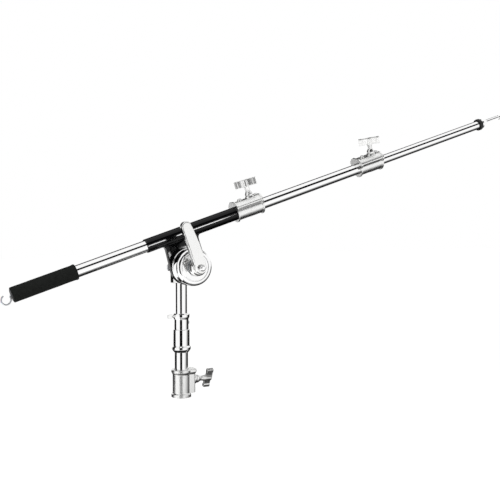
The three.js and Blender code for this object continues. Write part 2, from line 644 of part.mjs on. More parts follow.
function crossNut() {
  const seat = HEAD_RADIUS + 0.8 + GAP;
  return pushed(hexagon(CROSS_BOLT_HEAD_FLATS), seat, seat + CROSS_BOLT_HEAD_HEIGHT,
    AXIS.right, 0.8, 1)
    .subtract(bar(CROSS_BOLT_RADIUS + GAP, 0, 2 * seat, AXIS.right, COARSE))
    .translate([0, 0, -CROSS_BOLT_DROP]);
}

function pivotStud() {
  const foot = HEAD_BOSS_FRONT - STUD_GRIP + GAP;
  const shoulder = hubFront;
  const tip = capNutFront - 4;
  return turned([
    [0, foot], [STUD_RADIUS, foot], [STUD_RADIUS, shoulder - 1],
    [STUD_TIP_RADIUS, shoulder - 1], [STUD_TIP_RADIUS, tip], [0, tip],
  ], AXIS.front, MEDIUM);
}

function frictionDisc(back, thickness, radius) {
  return tube(STUD_RADIUS + GAP, radius, back, back + thickness, AXIS.front);
}

// Clutch drum: a bright cup, open at the back, with a bead at its rim and a turned face.
function clutchDrum() {
  const bore = STUD_RADIUS + GAP;
  const inside = DRUM_BACK_RADIUS - DRUM_WALL;
  const grooveDepth = 1.2;
  const grooveHalf = 1;
  return turned([
    [bore, drumBack], [2 * STUD_RADIUS, drumBack], [2 * STUD_RADIUS, drumFront - DRUM_WALL],
    [inside, drumFront - DRUM_WALL], [inside, drumBack],
    [DRUM_BACK_RADIUS + 1.6, drumBack, 1], [DRUM_BACK_RADIUS + 1.6, drumBack + 3],
    [DRUM_BACK_RADIUS, drumBack + 4], [DRUM_RADIUS, drumFront, 3.5],
    [DRUM_GROOVE_RADIUS + grooveHalf, drumFront],
    [DRUM_GROOVE_RADIUS, drumFront - grooveDepth],
    [DRUM_GROOVE_RADIUS - grooveHalf, drumFront], [bore, drumFront],
  ], AXIS.front, FINE + 8);
}

// Stack of disc springs, alternately dished so that their rims meet in pairs.
function discSprings() {
  const bore = STUD_RADIUS + GAP;
  const rim = 0.92 * HUB_RADIUS;
  const outside = [];
  for (let i = 0; i <= DISC_SPRING_COUNT; i += 1) {
    const depth = washerFront + GAP + i * DISC_SPRING_THICKNESS;
    outside.push([i % 2 === 0 ? rim - 2.2 : rim, depth]);
  }
  return turned([[bore, washerFront + GAP], ...outside, [bore, springFront]], AXIS.front, MEDIUM + 4);
}

function leverHub() {
  const bore = STUD_RADIUS + GAP;
  const back = springFront + GAP;
  return turned([
    [bore, back], [HUB_RADIUS, back, 1], [HUB_RADIUS, back + 5, 1],
    [0.84 * HUB_RADIUS, back + 6.5], [0.84 * HUB_RADIUS, back + 10.5],
    [0.94 * HUB_RADIUS, back + 12], [0.94 * HUB_RADIUS, back + 15],
    [0.76 * HUB_RADIUS, hubFront], [bore, hubFront],
  ], AXIS.front);
}

// Lever outline: a straight trailing edge, two round ends and a swelling leading edge.
function leverOutline(inset) {
  const eye = LEVER_EYE_RADIUS - inset;
  const tip = LEVER_TIP_RADIUS - inset;
  const tipCentre = LEVER_TIP_RADIUS - LEVER_EYE_RADIUS;
  const belly = LEVER_EYE_RADIUS + LEVER_BELLY - inset;
  const shape = new THREE.Shape();
  shape.moveTo(-eye, 0);
  shape.absarc(0, 0, eye, Math.PI, 2 * Math.PI, false);
  shape.quadraticCurveTo(belly, 0.45 * LEVER_LENGTH, tipCentre + tip, LEVER_LENGTH);
  shape.absarc(tipCentre, LEVER_LENGTH, tip, 0, Math.PI, false);
  return shape;
}

// Cast lever, hollowed from behind above its eye as such castings are.
function leverArm() {
  const wall = 4;
  const webThickness = 6;
  const hollow = pushed(leverOutline(wall), leverBack - 1, leverFront - webThickness, AXIS.front)
    .subtract(bar(LEVER_EYE_RADIUS, leverBack - 2, leverFront, AXIS.front));
  return pushed(leverOutline(0), leverBack, leverFront, AXIS.front, 2.4)
    .subtract(hollow)
    .subtract(bar(STUD_TIP_RADIUS + GAP, leverBack - 1, leverFront + 1, AXIS.front, COARSE));
}

function leverCapNut() {
  const back = leverFront + GAP;
  const rim = 2 * STUD_TIP_RADIUS;
  return turned([
    [0, back], [rim, back], [rim, back + 2.5, 0.8], [rim - 1.6, back + 3],
    [rim - 1.6, capNutFront, 5], [0, capNutFront],
  ], AXIS.front, MEDIUM).subtract(
    bar(STUD_TIP_RADIUS + GAP, back - 1, capNutFront - 4 + GAP, AXIS.front, COARSE));
}

function headGroup() {
  const group = new THREE.Group();
  const rearDiscBack = HEAD_BOSS_FRONT + GAP;
  const rearDisc = Math.min(REAR_DISC_THICKNESS, plateBack - rearDiscBack - GAP);
  group.position.z = PIVOT_HEIGHT;
  const lever = new THREE.Group();
  lever.rotation.y = radians(-LEVER_LEAN);
  lever.add(
    piece('lever_hub', leverHub(), CAST_CHROME),
    piece('lever_arm', leverArm(), CAST_CHROME),
    piece('lever_cap_nut', leverCapNut(), CHROME),
  );
  const washer = tube(STUD_RADIUS + GAP, HUB_RADIUS + 2, drumFront + GAP, washerFront, AXIS.front);
  group.add(
    piece('column_tube', columnTube(), CHROME),
    piece('column_end_glide', columnEndGlide(), NYLON),
    piece('head_casting', headCasting(), CHROME),
    piece('cross_bolt', crossBolt(), STEEL),
    piece('cross_nut', crossNut(), STEEL),
    piece('pivot_stud', pivotStud(), STEEL),
    piece('rear_friction_disc', frictionDisc(rearDiscBack, rearDisc, HEAD_BOSS_RADIUS), FRICTION),
    piece('front_friction_disc',
      frictionDisc(plateFront + GAP, FRONT_DISC_THICKNESS, DRUM_BACK_RADIUS - 2), FRICTION),
    piece('clutch_drum', clutchDrum(), CHROME),
    piece('thrust_washer', washer, CHROME),
    piece('disc_springs', discSprings(), STEEL),
    lever,
  );
  return group;
}

// Boom: everything that tilts, with the tube along X and the pivot at the group's origin

const sleeveBore = SLEEVE_RADIUS - SLEEVE_WALL;
const sleeveFront = COLLAR_1_REAR + COLLAR_SEAT - GAP;

// Black sleeve casting: a tube on a filleted neck that ends in the round tilting plate.
function boomSleeve() {
  const under = PIVOT_TO_BOOM;
  const neckFront = PLATE_RADIUS;
  const neckRear = PLATE_RADIUS - NECK_TAPER;
  const filletFoot = under - SLEEVE_RADIUS - 12;
  const filletTop = under - SLEEVE_RADIUS + 3;
  const outline = new THREE.Shape();
  outline.absarc(0, 0, PLATE_RADIUS, Math.PI, 2 * Math.PI, false);
  outline.lineTo(neckFront, filletFoot);
  outline.quadraticCurveTo(neckFront, filletTop - 1, neckFront + 14, filletTop);
  outline.lineTo(neckFront + 14, under);
  outline.lineTo(-neckRear - 14, under);
  outline.lineTo(-neckRear - 14, filletTop);
  outline.quadraticCurveTo(-neckRear, filletTop - 1, -neckRear, filletFoot);
  const slab = pushed(outline, -SLEEVE_RADIUS, SLEEVE_RADIUS, AXIS.front);
  const half = PLATE_THICKNESS / 2;
  const flareFoot = under - 2 * SLEEVE_RADIUS;
  const flare = new THREE.Shape();
  flare.moveTo(-half, -PLATE_RADIUS - 1);
  flare.lineTo(half, -PLATE_RADIUS - 1);
  flare.lineTo(half, flareFoot);
  flare.quadraticCurveTo(half, under - SLEEVE_RADIUS + 3, SLEEVE_RADIUS - 1.5, under - 6);
  flare.lineTo(-SLEEVE_RADIUS + 1.5, under - 6);
  flare.quadraticCurveTo(-half, under - SLEEVE_RADIUS + 3, -half, flareFoot);
  const neck = slab.intersect(pushed(flare, -2 * PLATE_RADIUS, 2 * PLATE_RADIUS, AXIS.right));
  const pipe = turned([
    [0, SLEEVE_REAR], [SLEEVE_RADIUS, SLEEVE_REAR, 1], [SLEEVE_RADIUS, sleeveFront, 0.6],
    [0, sleeveFront],
  ], AXIS.right).translate([0, 0, under]);
  return pipe
    .add(neck)
    .subtract(bar(sleeveBore, SLEEVE_REAR - 1, sleeveFront + 1, AXIS.right)
      .translate([0, 0, under]))
    .subtract(bar(STUD_RADIUS + GAP, -PLATE_THICKNESS, PLATE_THICKNESS, AXIS.front, MEDIUM));
}

function glide(from) {
  return tube(MAIN_TUBE_RADIUS + GAP, sleeveBore - GAP, from, from + GLIDE_LENGTH, AXIS.right,
    MEDIUM + 4);
}

function mainTube() {
  const front = COLLAR_2_REAR + COLLAR_SEAT - GAP;
  return tube(MAIN_TUBE_RADIUS - MAIN_TUBE_WALL, MAIN_TUBE_RADIUS, MAIN_TUBE_REAR, front, AXIS.right);
}

function rearPlug() {
  const shank = MAIN_TUBE_RADIUS - MAIN_TUBE_WALL - GAP;
  const hole = HOOK_WIRE_RADIUS + GAP;
  const rear = MAIN_TUBE_REAR - PLUG_FLANGE - GAP;
  const nutRoom = 3 * HOOK_WIRE_RADIUS;
  return turned([
    [hole, rear], [MAIN_TUBE_RADIUS, rear], [MAIN_TUBE_RADIUS, MAIN_TUBE_REAR - GAP],
    [shank, MAIN_TUBE_REAR - GAP], [shank, MAIN_TUBE_REAR + PLUG_LENGTH],
    [nutRoom, MAIN_TUBE_REAR + PLUG_LENGTH], [nutRoom, rear + 7], [hole, rear + 7],
  ], AXIS.right, MEDIUM);
}

function foamGrip() {
  const rear = MAIN_TUBE_REAR - PLUG_FLANGE + 1;
  const front = rear + GRIP_LENGTH;
  const cuff = GRIP_RADIUS + GRIP_CUFF_RISE;
  const bore = MAIN_TUBE_RADIUS + GAP;
  return turned([
    [bore, rear], [GRIP_RADIUS, rear, 2], [GRIP_RADIUS, front - GRIP_CUFF_LENGTH - 1],
    [cuff, front - GRIP_CUFF_LENGTH, 0.8], [cuff, front, 1.5], [bore, front],
  ], AXIS.right);
}

// Hook of bent wire: a shank along the boom, a bend down the end face and an open ring.
function hook() {
  const rear = MAIN_TUBE_REAR - PLUG_FLANGE - GAP;
  const shankStart = rear + 16;
  const drop = rear - HOOK_SHANK_OUT;
  const bend = HOOK_SHANK_OUT - 1;
  const route = [
    new THREE.Vector3(shankStart, 0, 0),
    new THREE.Vector3((shankStart + rear) / 2, 0, 0),
    new THREE.Vector3(drop + bend, 0, 0),
    new THREE.Vector3(drop + 0.3 * bend, 0, -0.3 * bend),
    new THREE.Vector3(drop, 0, -bend),
  ];
  const centre = new THREE.Vector2(drop - HOOK_RING_RADIUS, -HOOK_RING_DROP);
  const turns = 16;
  for (let i = 0; i <= turns; i += 1) {
    const angle = -radians(HOOK_RING_ARC * i) / turns;
    route.push(new THREE.Vector3(
      centre.x + HOOK_RING_RADIUS * Math.cos(angle), 0,
      centre.y + HOOK_RING_RADIUS * Math.sin(angle)));
  }
  const wire = new THREE.Shape();
  wire.absarc(0, 0, HOOK_WIRE_RADIUS, 0, 2 * Math.PI, false);
  const geometry = new THREE.ExtrudeGeometry(wire, {
    steps: 38,
    curveSegments: 4,
    extrudePath: new THREE.CatmullRomCurve3(route, false, 'centripetal'),
  });
  return solid(geometry);
}

function hookNut() {
  const start = MAIN_TUBE_REAR - PLUG_FLANGE + 7;
  return pushed(hexagon(4.6 * HOOK_WIRE_RADIUS), start, start + 5, AXIS.right, 0.4, 1)
    .subtract(bar(HOOK_WIRE_RADIUS + GAP, start - 1, start + 6, AXIS.right, 10));
}

function innerTube() {
  return tube(INNER_TUBE_RADIUS - INNER_TUBE_WALL, INNER_TUBE_RADIUS,
    INNER_TUBE_REAR, INNER_TUBE_FRONT, AXIS.right);
}

function innerGlide() {
  const rim = MAIN_TUBE_RADIUS - MAIN_TUBE_WALL - GAP;
  const shank = INNER_TUBE_RADIUS - INNER_TUBE_WALL - GAP;
  return turned([
    [0, INNER_TUBE_REAR - 6], [rim, INNER_TUBE_REAR - 6], [rim, INNER_TUBE_REAR - GAP],
    [shank, INNER_TUBE_REAR - GAP], [shank, INNER_TUBE_REAR + 16], [0, INNER_TUBE_REAR + 16],
  ], AXIS.right, MEDIUM);
}

function stopRing() {
  const rear = INNER_TUBE_FRONT - STOP_RING_FROM_END;
  return tube(INNER_TUBE_RADIUS + GAP, STOP_RING_RADIUS, rear, rear + STOP_RING_WIDTH,
    AXIS.right, FINE, 2.4);
}

function tipCap() {
  const rear = INNER_TUBE_FRONT + GAP;
  const front = rear + TIP_CAP_LENGTH;
  const shank = INNER_TUBE_RADIUS - INNER_TUBE_WALL - GAP;
  const bore = SPIGOT_RADIUS + GAP;
  return turned([
    [bore, rear - TIP_CAP_SHANK], [shank, rear - TIP_CAP_SHANK], [shank, rear],
    [TIP_CAP_RADIUS, rear], [TIP_CAP_RADIUS, rear + 6, 2],
    [SPIGOT_RADIUS + 2.6, front - 3], [SPIGOT_RADIUS + 2.2, front], [bore, front],
  ], AXIS.right);
}

function tipSpigot() {
  const rear = INNER_TUBE_FRONT - TIP_CAP_SHANK;
  const front = INNER_TUBE_FRONT + TIP_CAP_LENGTH + SPIGOT_LENGTH;
  const grooveEnd = front - SPIGOT_GROOVE_FROM_END;
  const grooveStart = grooveEnd - SPIGOT_GROOVE_WIDTH;
  const waist = SPIGOT_RADIUS - SPIGOT_GROOVE_DEPTH;
  return turned([
    [0, rear], [SPIGOT_RADIUS, rear], [SPIGOT_RADIUS, grooveStart - 1, 0.6],
    [waist, grooveStart + 0.6], [waist, grooveEnd - 0.6], [SPIGOT_RADIUS, grooveEnd + 1, 0.6],
    [SPIGOT_RADIUS, front - 1.5], [SPIGOT_RADIUS - 1.5, front], [0, front],
  ], AXIS.right, MEDIUM);
}

function boomGroup() {
  const group = new THREE.Group();
  group.position.set(0, -BOOM_OFFSET, PIVOT_HEIGHT);
  group.rotation.y = radians(-BOOM_TILT);
  group.add(piece('boom_sleeve', boomSleeve(), BLACK_COAT));
  const onAxis = [
    piece('rear_glide', glide(SLEEVE_REAR + 2), NYLON),
    piece('front_glide', glide(sleeveFront - GLIDE_LENGTH - 2), NYLON),
    piece('main_tube', mainTube(), CHROME),
    piece('rear_plug', rearPlug(), NYLON),
    piece('foam_grip', foamGrip(), FOAM),
    piece('hook', hook(), STEEL),
    piece('hook_nut', hookNut(), STEEL),
    piece('inner_tube', innerTube(), CHROME),
    piece('inner_glide', innerGlide(), NYLON),
    piece('stop_ring', stopRing(), RUBBER),
    piece('tip_cap', tipCap(), CHROME),
    piece('tip_spigot', tipSpigot(), CHROME),
  ];
  onAxis.forEach((mesh) => mesh.position.setZ(PIVOT_TO_BOOM));
  group.add(
    ...onAxis,
    collarGroup(1, COLLAR_1_REAR, COLLAR_1_LEAN, SLEEVE_RADIUS, MAIN_TUBE_RADIUS),
    collarGroup(2, COLLAR_2_REAR, COLLAR_2_LEAN, MAIN_TUBE_RADIUS, INNER_TUBE_RADIUS),
  );
  return group;
}

const boomArm = new THREE.Group();
boomArm.add(standClampGroup(), riserGroup(), headGroup(), boomGroup());

export default boomArm;
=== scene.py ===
# %% [markdown]
# # An overhead boom arm in chrome, black powder coat and foam
#
# A boom arm holds a lamp or a microphone out over a film set. A long telescopic tube slides
# through a black sleeve, the sleeve tilts on a big round clutch with a lever, and a short
# column below it drops into a stand. Nearly everything is bright chrome, so the work is in
# two things: clean, finely rounded surfaces, and surroundings worth reflecting.
#
# The measured model is loaded first and stays as it is. It says where each part belongs and
# how it moves. Finer surfaces are then made over it, part by part, in the same places.

# %% Load the measured model
import math

import bmesh
import bpy
import numpy as np
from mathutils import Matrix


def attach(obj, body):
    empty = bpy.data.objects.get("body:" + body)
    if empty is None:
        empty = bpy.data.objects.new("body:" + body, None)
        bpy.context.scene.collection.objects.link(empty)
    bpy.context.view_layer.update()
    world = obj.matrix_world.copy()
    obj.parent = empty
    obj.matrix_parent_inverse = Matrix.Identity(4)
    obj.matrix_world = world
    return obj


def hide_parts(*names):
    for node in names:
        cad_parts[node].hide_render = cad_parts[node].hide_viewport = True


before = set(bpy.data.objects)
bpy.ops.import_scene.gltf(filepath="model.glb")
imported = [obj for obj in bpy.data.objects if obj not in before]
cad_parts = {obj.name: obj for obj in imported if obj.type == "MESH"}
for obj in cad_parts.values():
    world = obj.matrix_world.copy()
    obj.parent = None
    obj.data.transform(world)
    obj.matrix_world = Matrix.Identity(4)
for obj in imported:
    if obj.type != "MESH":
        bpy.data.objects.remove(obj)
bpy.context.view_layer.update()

# %% [markdown]
# ## Places
#
# Every part is drawn about its own axis, in millimetres, and then carried to its place. A
# place is a 4 by 4 matrix: three columns for the directions of the part's own x, y and z, and
# one for its origin. The column stands on the z axis, the clutch points at the viewer's side
# (minus y), and the boom rises 18.4 degrees from level towards its tip.

# %% Places in the object
MM = 0.001
PIVOT_HEIGHT = 402.0
BOOM_OFFSET = 55.0
BOOM_HEIGHT = 100.0
BOOM_TILT = math.radians(18.4)
LEVER_LEAN = math.radians(20.2)


def place(origin, x, y, z):
    """The matrix whose columns are the part's x, y and z directions and its origin."""
    made = np.eye(4)
    made[:3, 0], made[:3, 1], made[:3, 2], made[:3, 3] = x, y, z, origin
    return made


X, Y, Z = np.eye(3)
ALONG = np.array([math.cos(BOOM_TILT), 0.0, math.sin(BOOM_TILT)])
ABOVE = np.array([-math.sin(BOOM_TILT), 0.0, math.cos(BOOM_TILT)])
PIVOT = np.array([0.0, 0.0, PIVOT_HEIGHT])
SLEEVE_ROOT = np.array([0.0, -BOOM_OFFSET, PIVOT_HEIGHT])

COLUMN = place((0, 0, 0), X, Y, Z)
HEAD = place(PIVOT, X, Y, Z)
CLUTCH = place(PIVOT, X, Z, -Y)
PLATE = place(SLEEVE_ROOT, ALONG, ABOVE, -Y)
NECK = place(SLEEVE_ROOT, ALONG, Y, ABOVE)
BOOM = place(SLEEVE_ROOT + BOOM_HEIGHT * ABOVE, Y, ABOVE, ALONG)
lever_up = np.array([-math.sin(LEVER_LEAN), 0.0, math.cos(LEVER_LEAN)])
lever_across = np.array([math.cos(LEVER_LEAN), 0.0, math.sin(LEVER_LEAN)])
LEVER = place(PIVOT, lever_across, lever_up, -Y)
print("boom direction", ALONG.round(3), "and the lever's", lever_up.round(3))

# %% [markdown]
# ## From arrays of points to a mesh
#
# A surface is a grid of points worked out all at once with numpy. Neighbouring points make
# the corners of a face. Points that fall together, as at the tip of a dome, are merged, and
# the faces are turned outwards. A crease is kept only where two faces meet at a clear angle,
# so a real edge stays crisp and a round one shines evenly.

# %% Grids, caps and pieces
CREASE = math.radians(32)
SAME_POINT = 1e-7


def linked(name, data):
    """A new object in the scene that shows a mesh, a lamp or a camera's lens."""
    made = bpy.data.objects.new(name, data)
    bpy.context.scene.collection.objects.link(made)
    return made


def shell(grid, ring=False):
    """Points and faces of a grid (rows, columns, 3) whose columns close round. With ring the
    rows close too, as on a tube with a wall."""
    rows, columns = grid.shape[:2]
    index = np.arange(rows * columns).reshape(rows, columns)
    here = index if ring else index[:-1]
    there = np.roll(index, -1, axis=0) if ring else index[1:]
    faces = np.stack([here, there, np.roll(there, -1, axis=1), np.roll(here, -1, axis=1)], -1)
    return grid.reshape(-1, 3), faces.reshape(-1, 4).tolist()


def capped(grid):
    """The same for an open grid, with one flat face closing its first row and its last."""
    points, faces = shell(grid)
    rows, columns = grid.shape[:2]
    first = list(range(columns))
    last = list(range((rows - 1) * columns, rows * columns))
    return points, faces + [first, last]


def piece(name, shells, finish, body, nodes):
    """One object from its shells: joined, merged where points meet, faces turned outwards."""
    points, faces, count = [], [], 0
    for shell_points, shell_faces in shells:
        faces += [[corner + count for corner in face] for face in shell_faces]
        points.append(shell_points)
        count += len(shell_points)
    mesh = bpy.data.meshes.new(name)
    mesh.from_pydata((np.concatenate(points) * MM).tolist(), [], faces)
    work = bmesh.new()
    work.from_mesh(mesh)
    bmesh.ops.remove_doubles(work, verts=work.verts, dist=SAME_POINT)
    bmesh.ops.recalc_face_normals(work, faces=work.faces)
    work.to_mesh(mesh)
    work.free()
    mesh.polygons.foreach_set("use_smooth", np.ones(len(mesh.polygons), bool))
    mesh.set_sharp_from_angle(angle=CREASE)
    mesh.materials.append(finish)
    made = linked(name, mesh)
    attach(made, body)
    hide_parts(*nodes)
    print(f"{name}: {len(mesh.polygons)} faces")
    return made


def carried(points, where):
    """Points of a part, in its own directions, carried to their place."""
    return points @ where[:3, :3].T + where[:3, 3]


# %% [markdown]
# ## Rounded outlines
#
# Nothing on the real arm has a knife edge. Each outline is a short list of corners, and a
# corner may carry a radius. The sharp corner is then swapped for an arc that touches both
# sides. Long straight runs get an extra point close to each end: it keeps the shine flat
# along the run, and lets it turn only in the rounding.

# %% Corners to outlines
ARC_STEP = math.radians(9)
HOLD = 0.4


def rounded(corners, closed=True):
    """Outline through corners (x, y, radius). The arc's centre is on the bisector of the
    corner at radius / sin(half angle), and it starts radius / tan(half angle) along each side."""
    corners = [(c[0], c[1], c[2] if len(c) > 2 else 0.0) for c in corners]
    outline = []
    for i, (x, y, radius) in enumerate(corners):
        corner = np.array([x, y])
        if radius == 0 or (not closed and i in (0, len(corners) - 1)):
            outline.append(corner[None])
            continue
        before = np.array(corners[i - 1][:2]) - corner
        after = np.array(corners[(i + 1) % len(corners)][:2]) - corner
        before, after = before / np.linalg.norm(before), after / np.linalg.norm(after)
        half = math.acos(max(-1.0, min(1.0, float(before @ after)))) / 2
        middle = (before + after) / np.linalg.norm(before + after)
        centre = corner + middle * radius / math.sin(half)
        start = corner + before * radius / math.tan(half) - centre
        end = corner + after * radius / math.tan(half) - centre
        sweep = math.atan2(start[0] * end[1] - start[1] * end[0], float(start @ end))
        steps = max(2, math.ceil(abs(sweep) / ARC_STEP - 1e-6))
        angle = sweep * np.linspace(0, 1, steps + 1)[:, None]
        across = np.array([-start[1], start[0]])
        outline.append(centre + start * np.cos(angle) + across * np.sin(angle))
    return np.concatenate(outline)


def held(outline, closed=True):
    """The outline with a point HOLD from both ends of each run longer than six times that."""
    after = np.roll(outline, -1, axis=0)
    run = after - outline
    length = np.linalg.norm(run, axis=1, keepdims=True)
    step = run * HOLD / np.maximum(length, 1e-9)
    long = (length[:, 0] > 6 * HOLD)
    if not closed:
        long[-1] = False
    three = np.stack([outline, outline + step, after - step], axis=1)
    keep = np.stack([np.ones(len(outline), bool), long, long], axis=1)
    return three[keep]


# %% [markdown]
# ## Turned parts
#
# Tubes, rings, the clutch drum and most of the small parts come off a lathe, so they are
# drawn as one does it in the workshop: half a section beside an axis, spun round it. A
# section that starts and ends on the axis gives a solid bar. One that stays off it gives a
# tube with a wall.

# %% Spinning a section
FACETS = 96


def spun(corners, where, facets=FACETS):
    """Shell of a section (radius, height, rounding) about z: the point at angle a is
    (radius cos a, radius sin a, height)."""
    hollow = min(c[0] for c in corners) > 0
    section = held(rounded(corners, closed=hollow), closed=hollow)
    angle = np.linspace(0, 2 * math.pi, facets, endpoint=False)
    radius, height = section[:, :1], section[:, 1:]
    grid = np.stack([
        radius * np.cos(angle), radius * np.sin(angle), height + 0 * angle], axis=-1)
    return shell(carried(grid, where), ring=hollow)


def ring_section(inner, outer, start, end, edge=0.3):
    """Section of a plain tube or ring with its edges broken."""
    return [(outer, start, edge), (outer, end, edge), (inner, end, edge), (inner, start, edge)]


# %% [markdown]
# ## Pushed parts
#
# Blades, hexagons and flat tabs are outlines pushed along an axis. Their edges are rounded by
# drawing the outline smaller, ring by ring, as it nears each end: a quarter circle in side
# view.

# %% Pushing an outline
def inset(outline, amount):
    """The outline drawn in by an amount: each point moves along its mitre, the sum of its two
    side normals divided by one plus their product."""
    run = np.roll(outline, -1, axis=0) - outline
    normal = np.stack([run[:, 1], -run[:, 0]], axis=1)
    normal /= np.linalg.norm(normal, axis=1, keepdims=True)
    before = np.roll(normal, 1, axis=0)
    mitre = (normal + before) / (1 + np.sum(normal * before, axis=1, keepdims=True))
    following = np.roll(outline, -1, axis=0)
    area = np.sum(outline[:, 0] * following[:, 1] - outline[:, 1] * following[:, 0])
    return outline - amount * mitre * np.sign(area)


def pushed(outline, start, end, where, edge=0.8, steps=5):
    """Shell of a closed outline between two heights, with both rims rounded: at angle a of the
    rounding the outline is in by edge (1 - sin a) and the height is edge (1 - cos a) from the
    end."""
    angle = np.linspace(0, math.pi / 2, steps + 1)
    shrink = edge * (1 - np.sin(angle))
    rise = edge * (1 - np.cos(angle))
    heights = np.concatenate([start + rise, [start + edge + HOLD, end - edge - HOLD], end - rise[::-1]])
    shrinks = np.concatenate([shrink, [0.0, 0.0], shrink[::-1]])
    grid = np.stack([
        np.concatenate([inset(outline, s), np.full((len(outline), 1), h)], axis=1)
        for s, h in zip(shrinks, heights)])
    return capped(carried(grid, where))


def hexagon(flats):
    """A regular hexagon by its width across flats, with softened corners."""
    angle = np.radians(30 + 60 * np.arange(6))
    radius = flats / math.sqrt(3)
    return rounded([(radius * math.cos(a), radius * math.sin(a), 0.6) for a in angle])


# %% [markdown]
# ## Finishes
#
# A finish is built from what the surface really is. Colours are written as the hex values of
# a paint chart and turned into the linear light that the renderer works in. One small
# function adds a node and joins it up. Patterns are laid out in metres in the object's own
# directions, so a grain of half a millimetre is drawn at a scale of one over half a millimetre.

# %% Colour and node helpers
def linear(code):
    """Linear colour of an sRGB hex code: divide by 12.92 below 0.04045, else the 2.4 power."""
    srgb = np.array([int(code[i:i + 2], 16) for i in (1, 3, 5)]) / 255
    light = np.where(srgb <= 0.04045, srgb / 12.92, ((srgb + 0.055) / 1.055) ** 2.4)
    return (*light.tolist(), 1.0)


def add(tree, kind, settings=(), **sockets):
    """One node: its settings, then for each input either a value or another node's output.
    An underscore in an input's name stands for a space, and in0, in1 for its number."""
    made = tree.nodes.new(kind)
    for key, value in dict(settings).items():
        setattr(made, key, value)
    for key, value in sockets.items():
        numbered = key.startswith("in") and key[2:].isdigit()
        socket = made.inputs[int(key[2:]) if numbered else key.replace("_", " ")]
        if isinstance(value, bpy.types.NodeSocket):
            tree.links.new(value, socket)
        else:
            socket.default_value = value
    return made


def new_finish(name):
    """An empty material with its output, and the object's own coordinates in metres."""
    material = bpy.data.materials.new(name)
    material.use_nodes = True
    tree = material.node_tree
    tree.nodes.clear()
    end = add(tree, "ShaderNodeOutputMaterial")
    metres = add(tree, "ShaderNodeTexCoord").outputs["Object"]
    return material, tree, end, metres


def per_mm(size):
    """Texture scale at which one cell measures this many millimetres."""
    return 1000.0 / size


# %% [markdown]
# ### Chrome plate
#
# The tubes are steel with bright chrome over nickel: a mirror, very slightly blue. Seen close
# there is a film of fine wiping marks and, on drawn tube, a faint ripple left by the draw
# bench about a dozen millimetres long. Both only nudge the reflection. The castings are
# chromed too, but a casting is polished by hand before it is plated, so its mirror is softer
# and wavier. The lever's is softer still. The clamp, the collars and the T-handles, which get
# knocked most, are satin.

# %% Bright tube and polished casting
def chrome(name, colour, smooth, hazy, ripple_mm, ripple_height):
    """A metal whose roughness drifts from smooth to hazy, and whose surface ripples."""
    material, tree, end, metres = new_finish(name)
    film = add(tree, "ShaderNodeTexNoise", Vector=metres, Scale=per_mm(9.0), Detail=4.0)
    haze = add(tree, "ShaderNodeMapRange", Value=film.outputs["Fac"], To_Min=smooth, To_Max=hazy)
    ripple = add(tree, "ShaderNodeTexNoise", Vector=metres, Scale=per_mm(ripple_mm), Detail=1.0)
    bump = add(tree, "ShaderNodeBump", Height=ripple.outputs["Fac"], Strength=1.0,
               Distance=ripple_height)
    metal = add(tree, "ShaderNodeBsdfPrincipled", Base_Color=linear(colour), Metallic=1.0,
                Roughness=haze.outputs["Result"], Normal=bump.outputs["Normal"])
    tree.links.new(metal.outputs["BSDF"], end.inputs["Surface"])
    return material


chrome_plate = chrome("chrome_plated_steel", "#fbfbfb", 0.03, 0.07, 12.0, 1.2e-5)
cast_chrome = chrome("polished_chromed_casting", "#f6f6f5", 0.05, 0.09, 9.0, 1.5e-5)
hand_polished = chrome("hand_polished_chromed_casting", "#f4f4f3", 0.17, 0.23, 9.0, 1.0e-5)
satin_chrome = chrome("satin_chromed_casting", "#f4f4f3", 0.26, 0.34, 9.0, 1.5e-5)
zinc_steel = chrome("zinc_plated_steel", "#c9ccd0", 0.16, 0.30, 3.0, 1.5e-5)
spring_steel = chrome("oiled_spring_steel", "#7d8083", 0.20, 0.34, 3.0, 1.5e-5)
machined_brass = chrome("machined_brass", "#c9a768", 0.18, 0.30, 2.0, 1.5e-5)

# %% [markdown]
# ### Black powder coat
#
# The sleeve is an aluminium casting under gloss black powder coat. Powder melts into a film
# with a slight orange peel, low bumps a millimetre or two across, which makes a long
# highlight waver a little. The coat reflects only about four parts in a hundred, so it
# mirrors lamps and loses the rest of the room.

# %% Powder coat
def powder_coat():
    """Deep black under a glossy, slightly dimpled skin."""
    material, tree, end, metres = new_finish("gloss_black_powder_coat")
    peel = add(tree, "ShaderNodeTexNoise", Vector=metres, Scale=per_mm(1.6), Detail=2.0)
    bump = add(tree, "ShaderNodeBump", Height=peel.outputs["Fac"], Strength=1.0, Distance=1.0e-5)
    dust = add(tree, "ShaderNodeTexNoise", Vector=metres, Scale=per_mm(25.0), Detail=5.0)
    haze = add(tree, "ShaderNodeMapRange", Value=dust.outputs["Fac"], To_Min=0.07, To_Max=0.14)
    coat = add(tree, "ShaderNodeBsdfPrincipled", Base_Color=linear("#050506"), IOR=1.46,
               Specular_IOR_Level=0.25,
               Roughness=haze.outputs["Result"], Normal=bump.outputs["Normal"])
    tree.links.new(coat.outputs["BSDF"], end.inputs["Surface"])
    return material


black_coat = powder_coat()

# %% [markdown]
# ### Foam, rubber and moulded nylon
#
# The grip is closed-cell foam. Its skin is a field of tiny burst cells, about half a
# millimetre across. They are drawn a little coarser so that they still show in a picture of
# the whole arm. The ring at the tip is moulded rubber, smoother and a touch shinier. The
# guides inside the tubes are dark nylon.

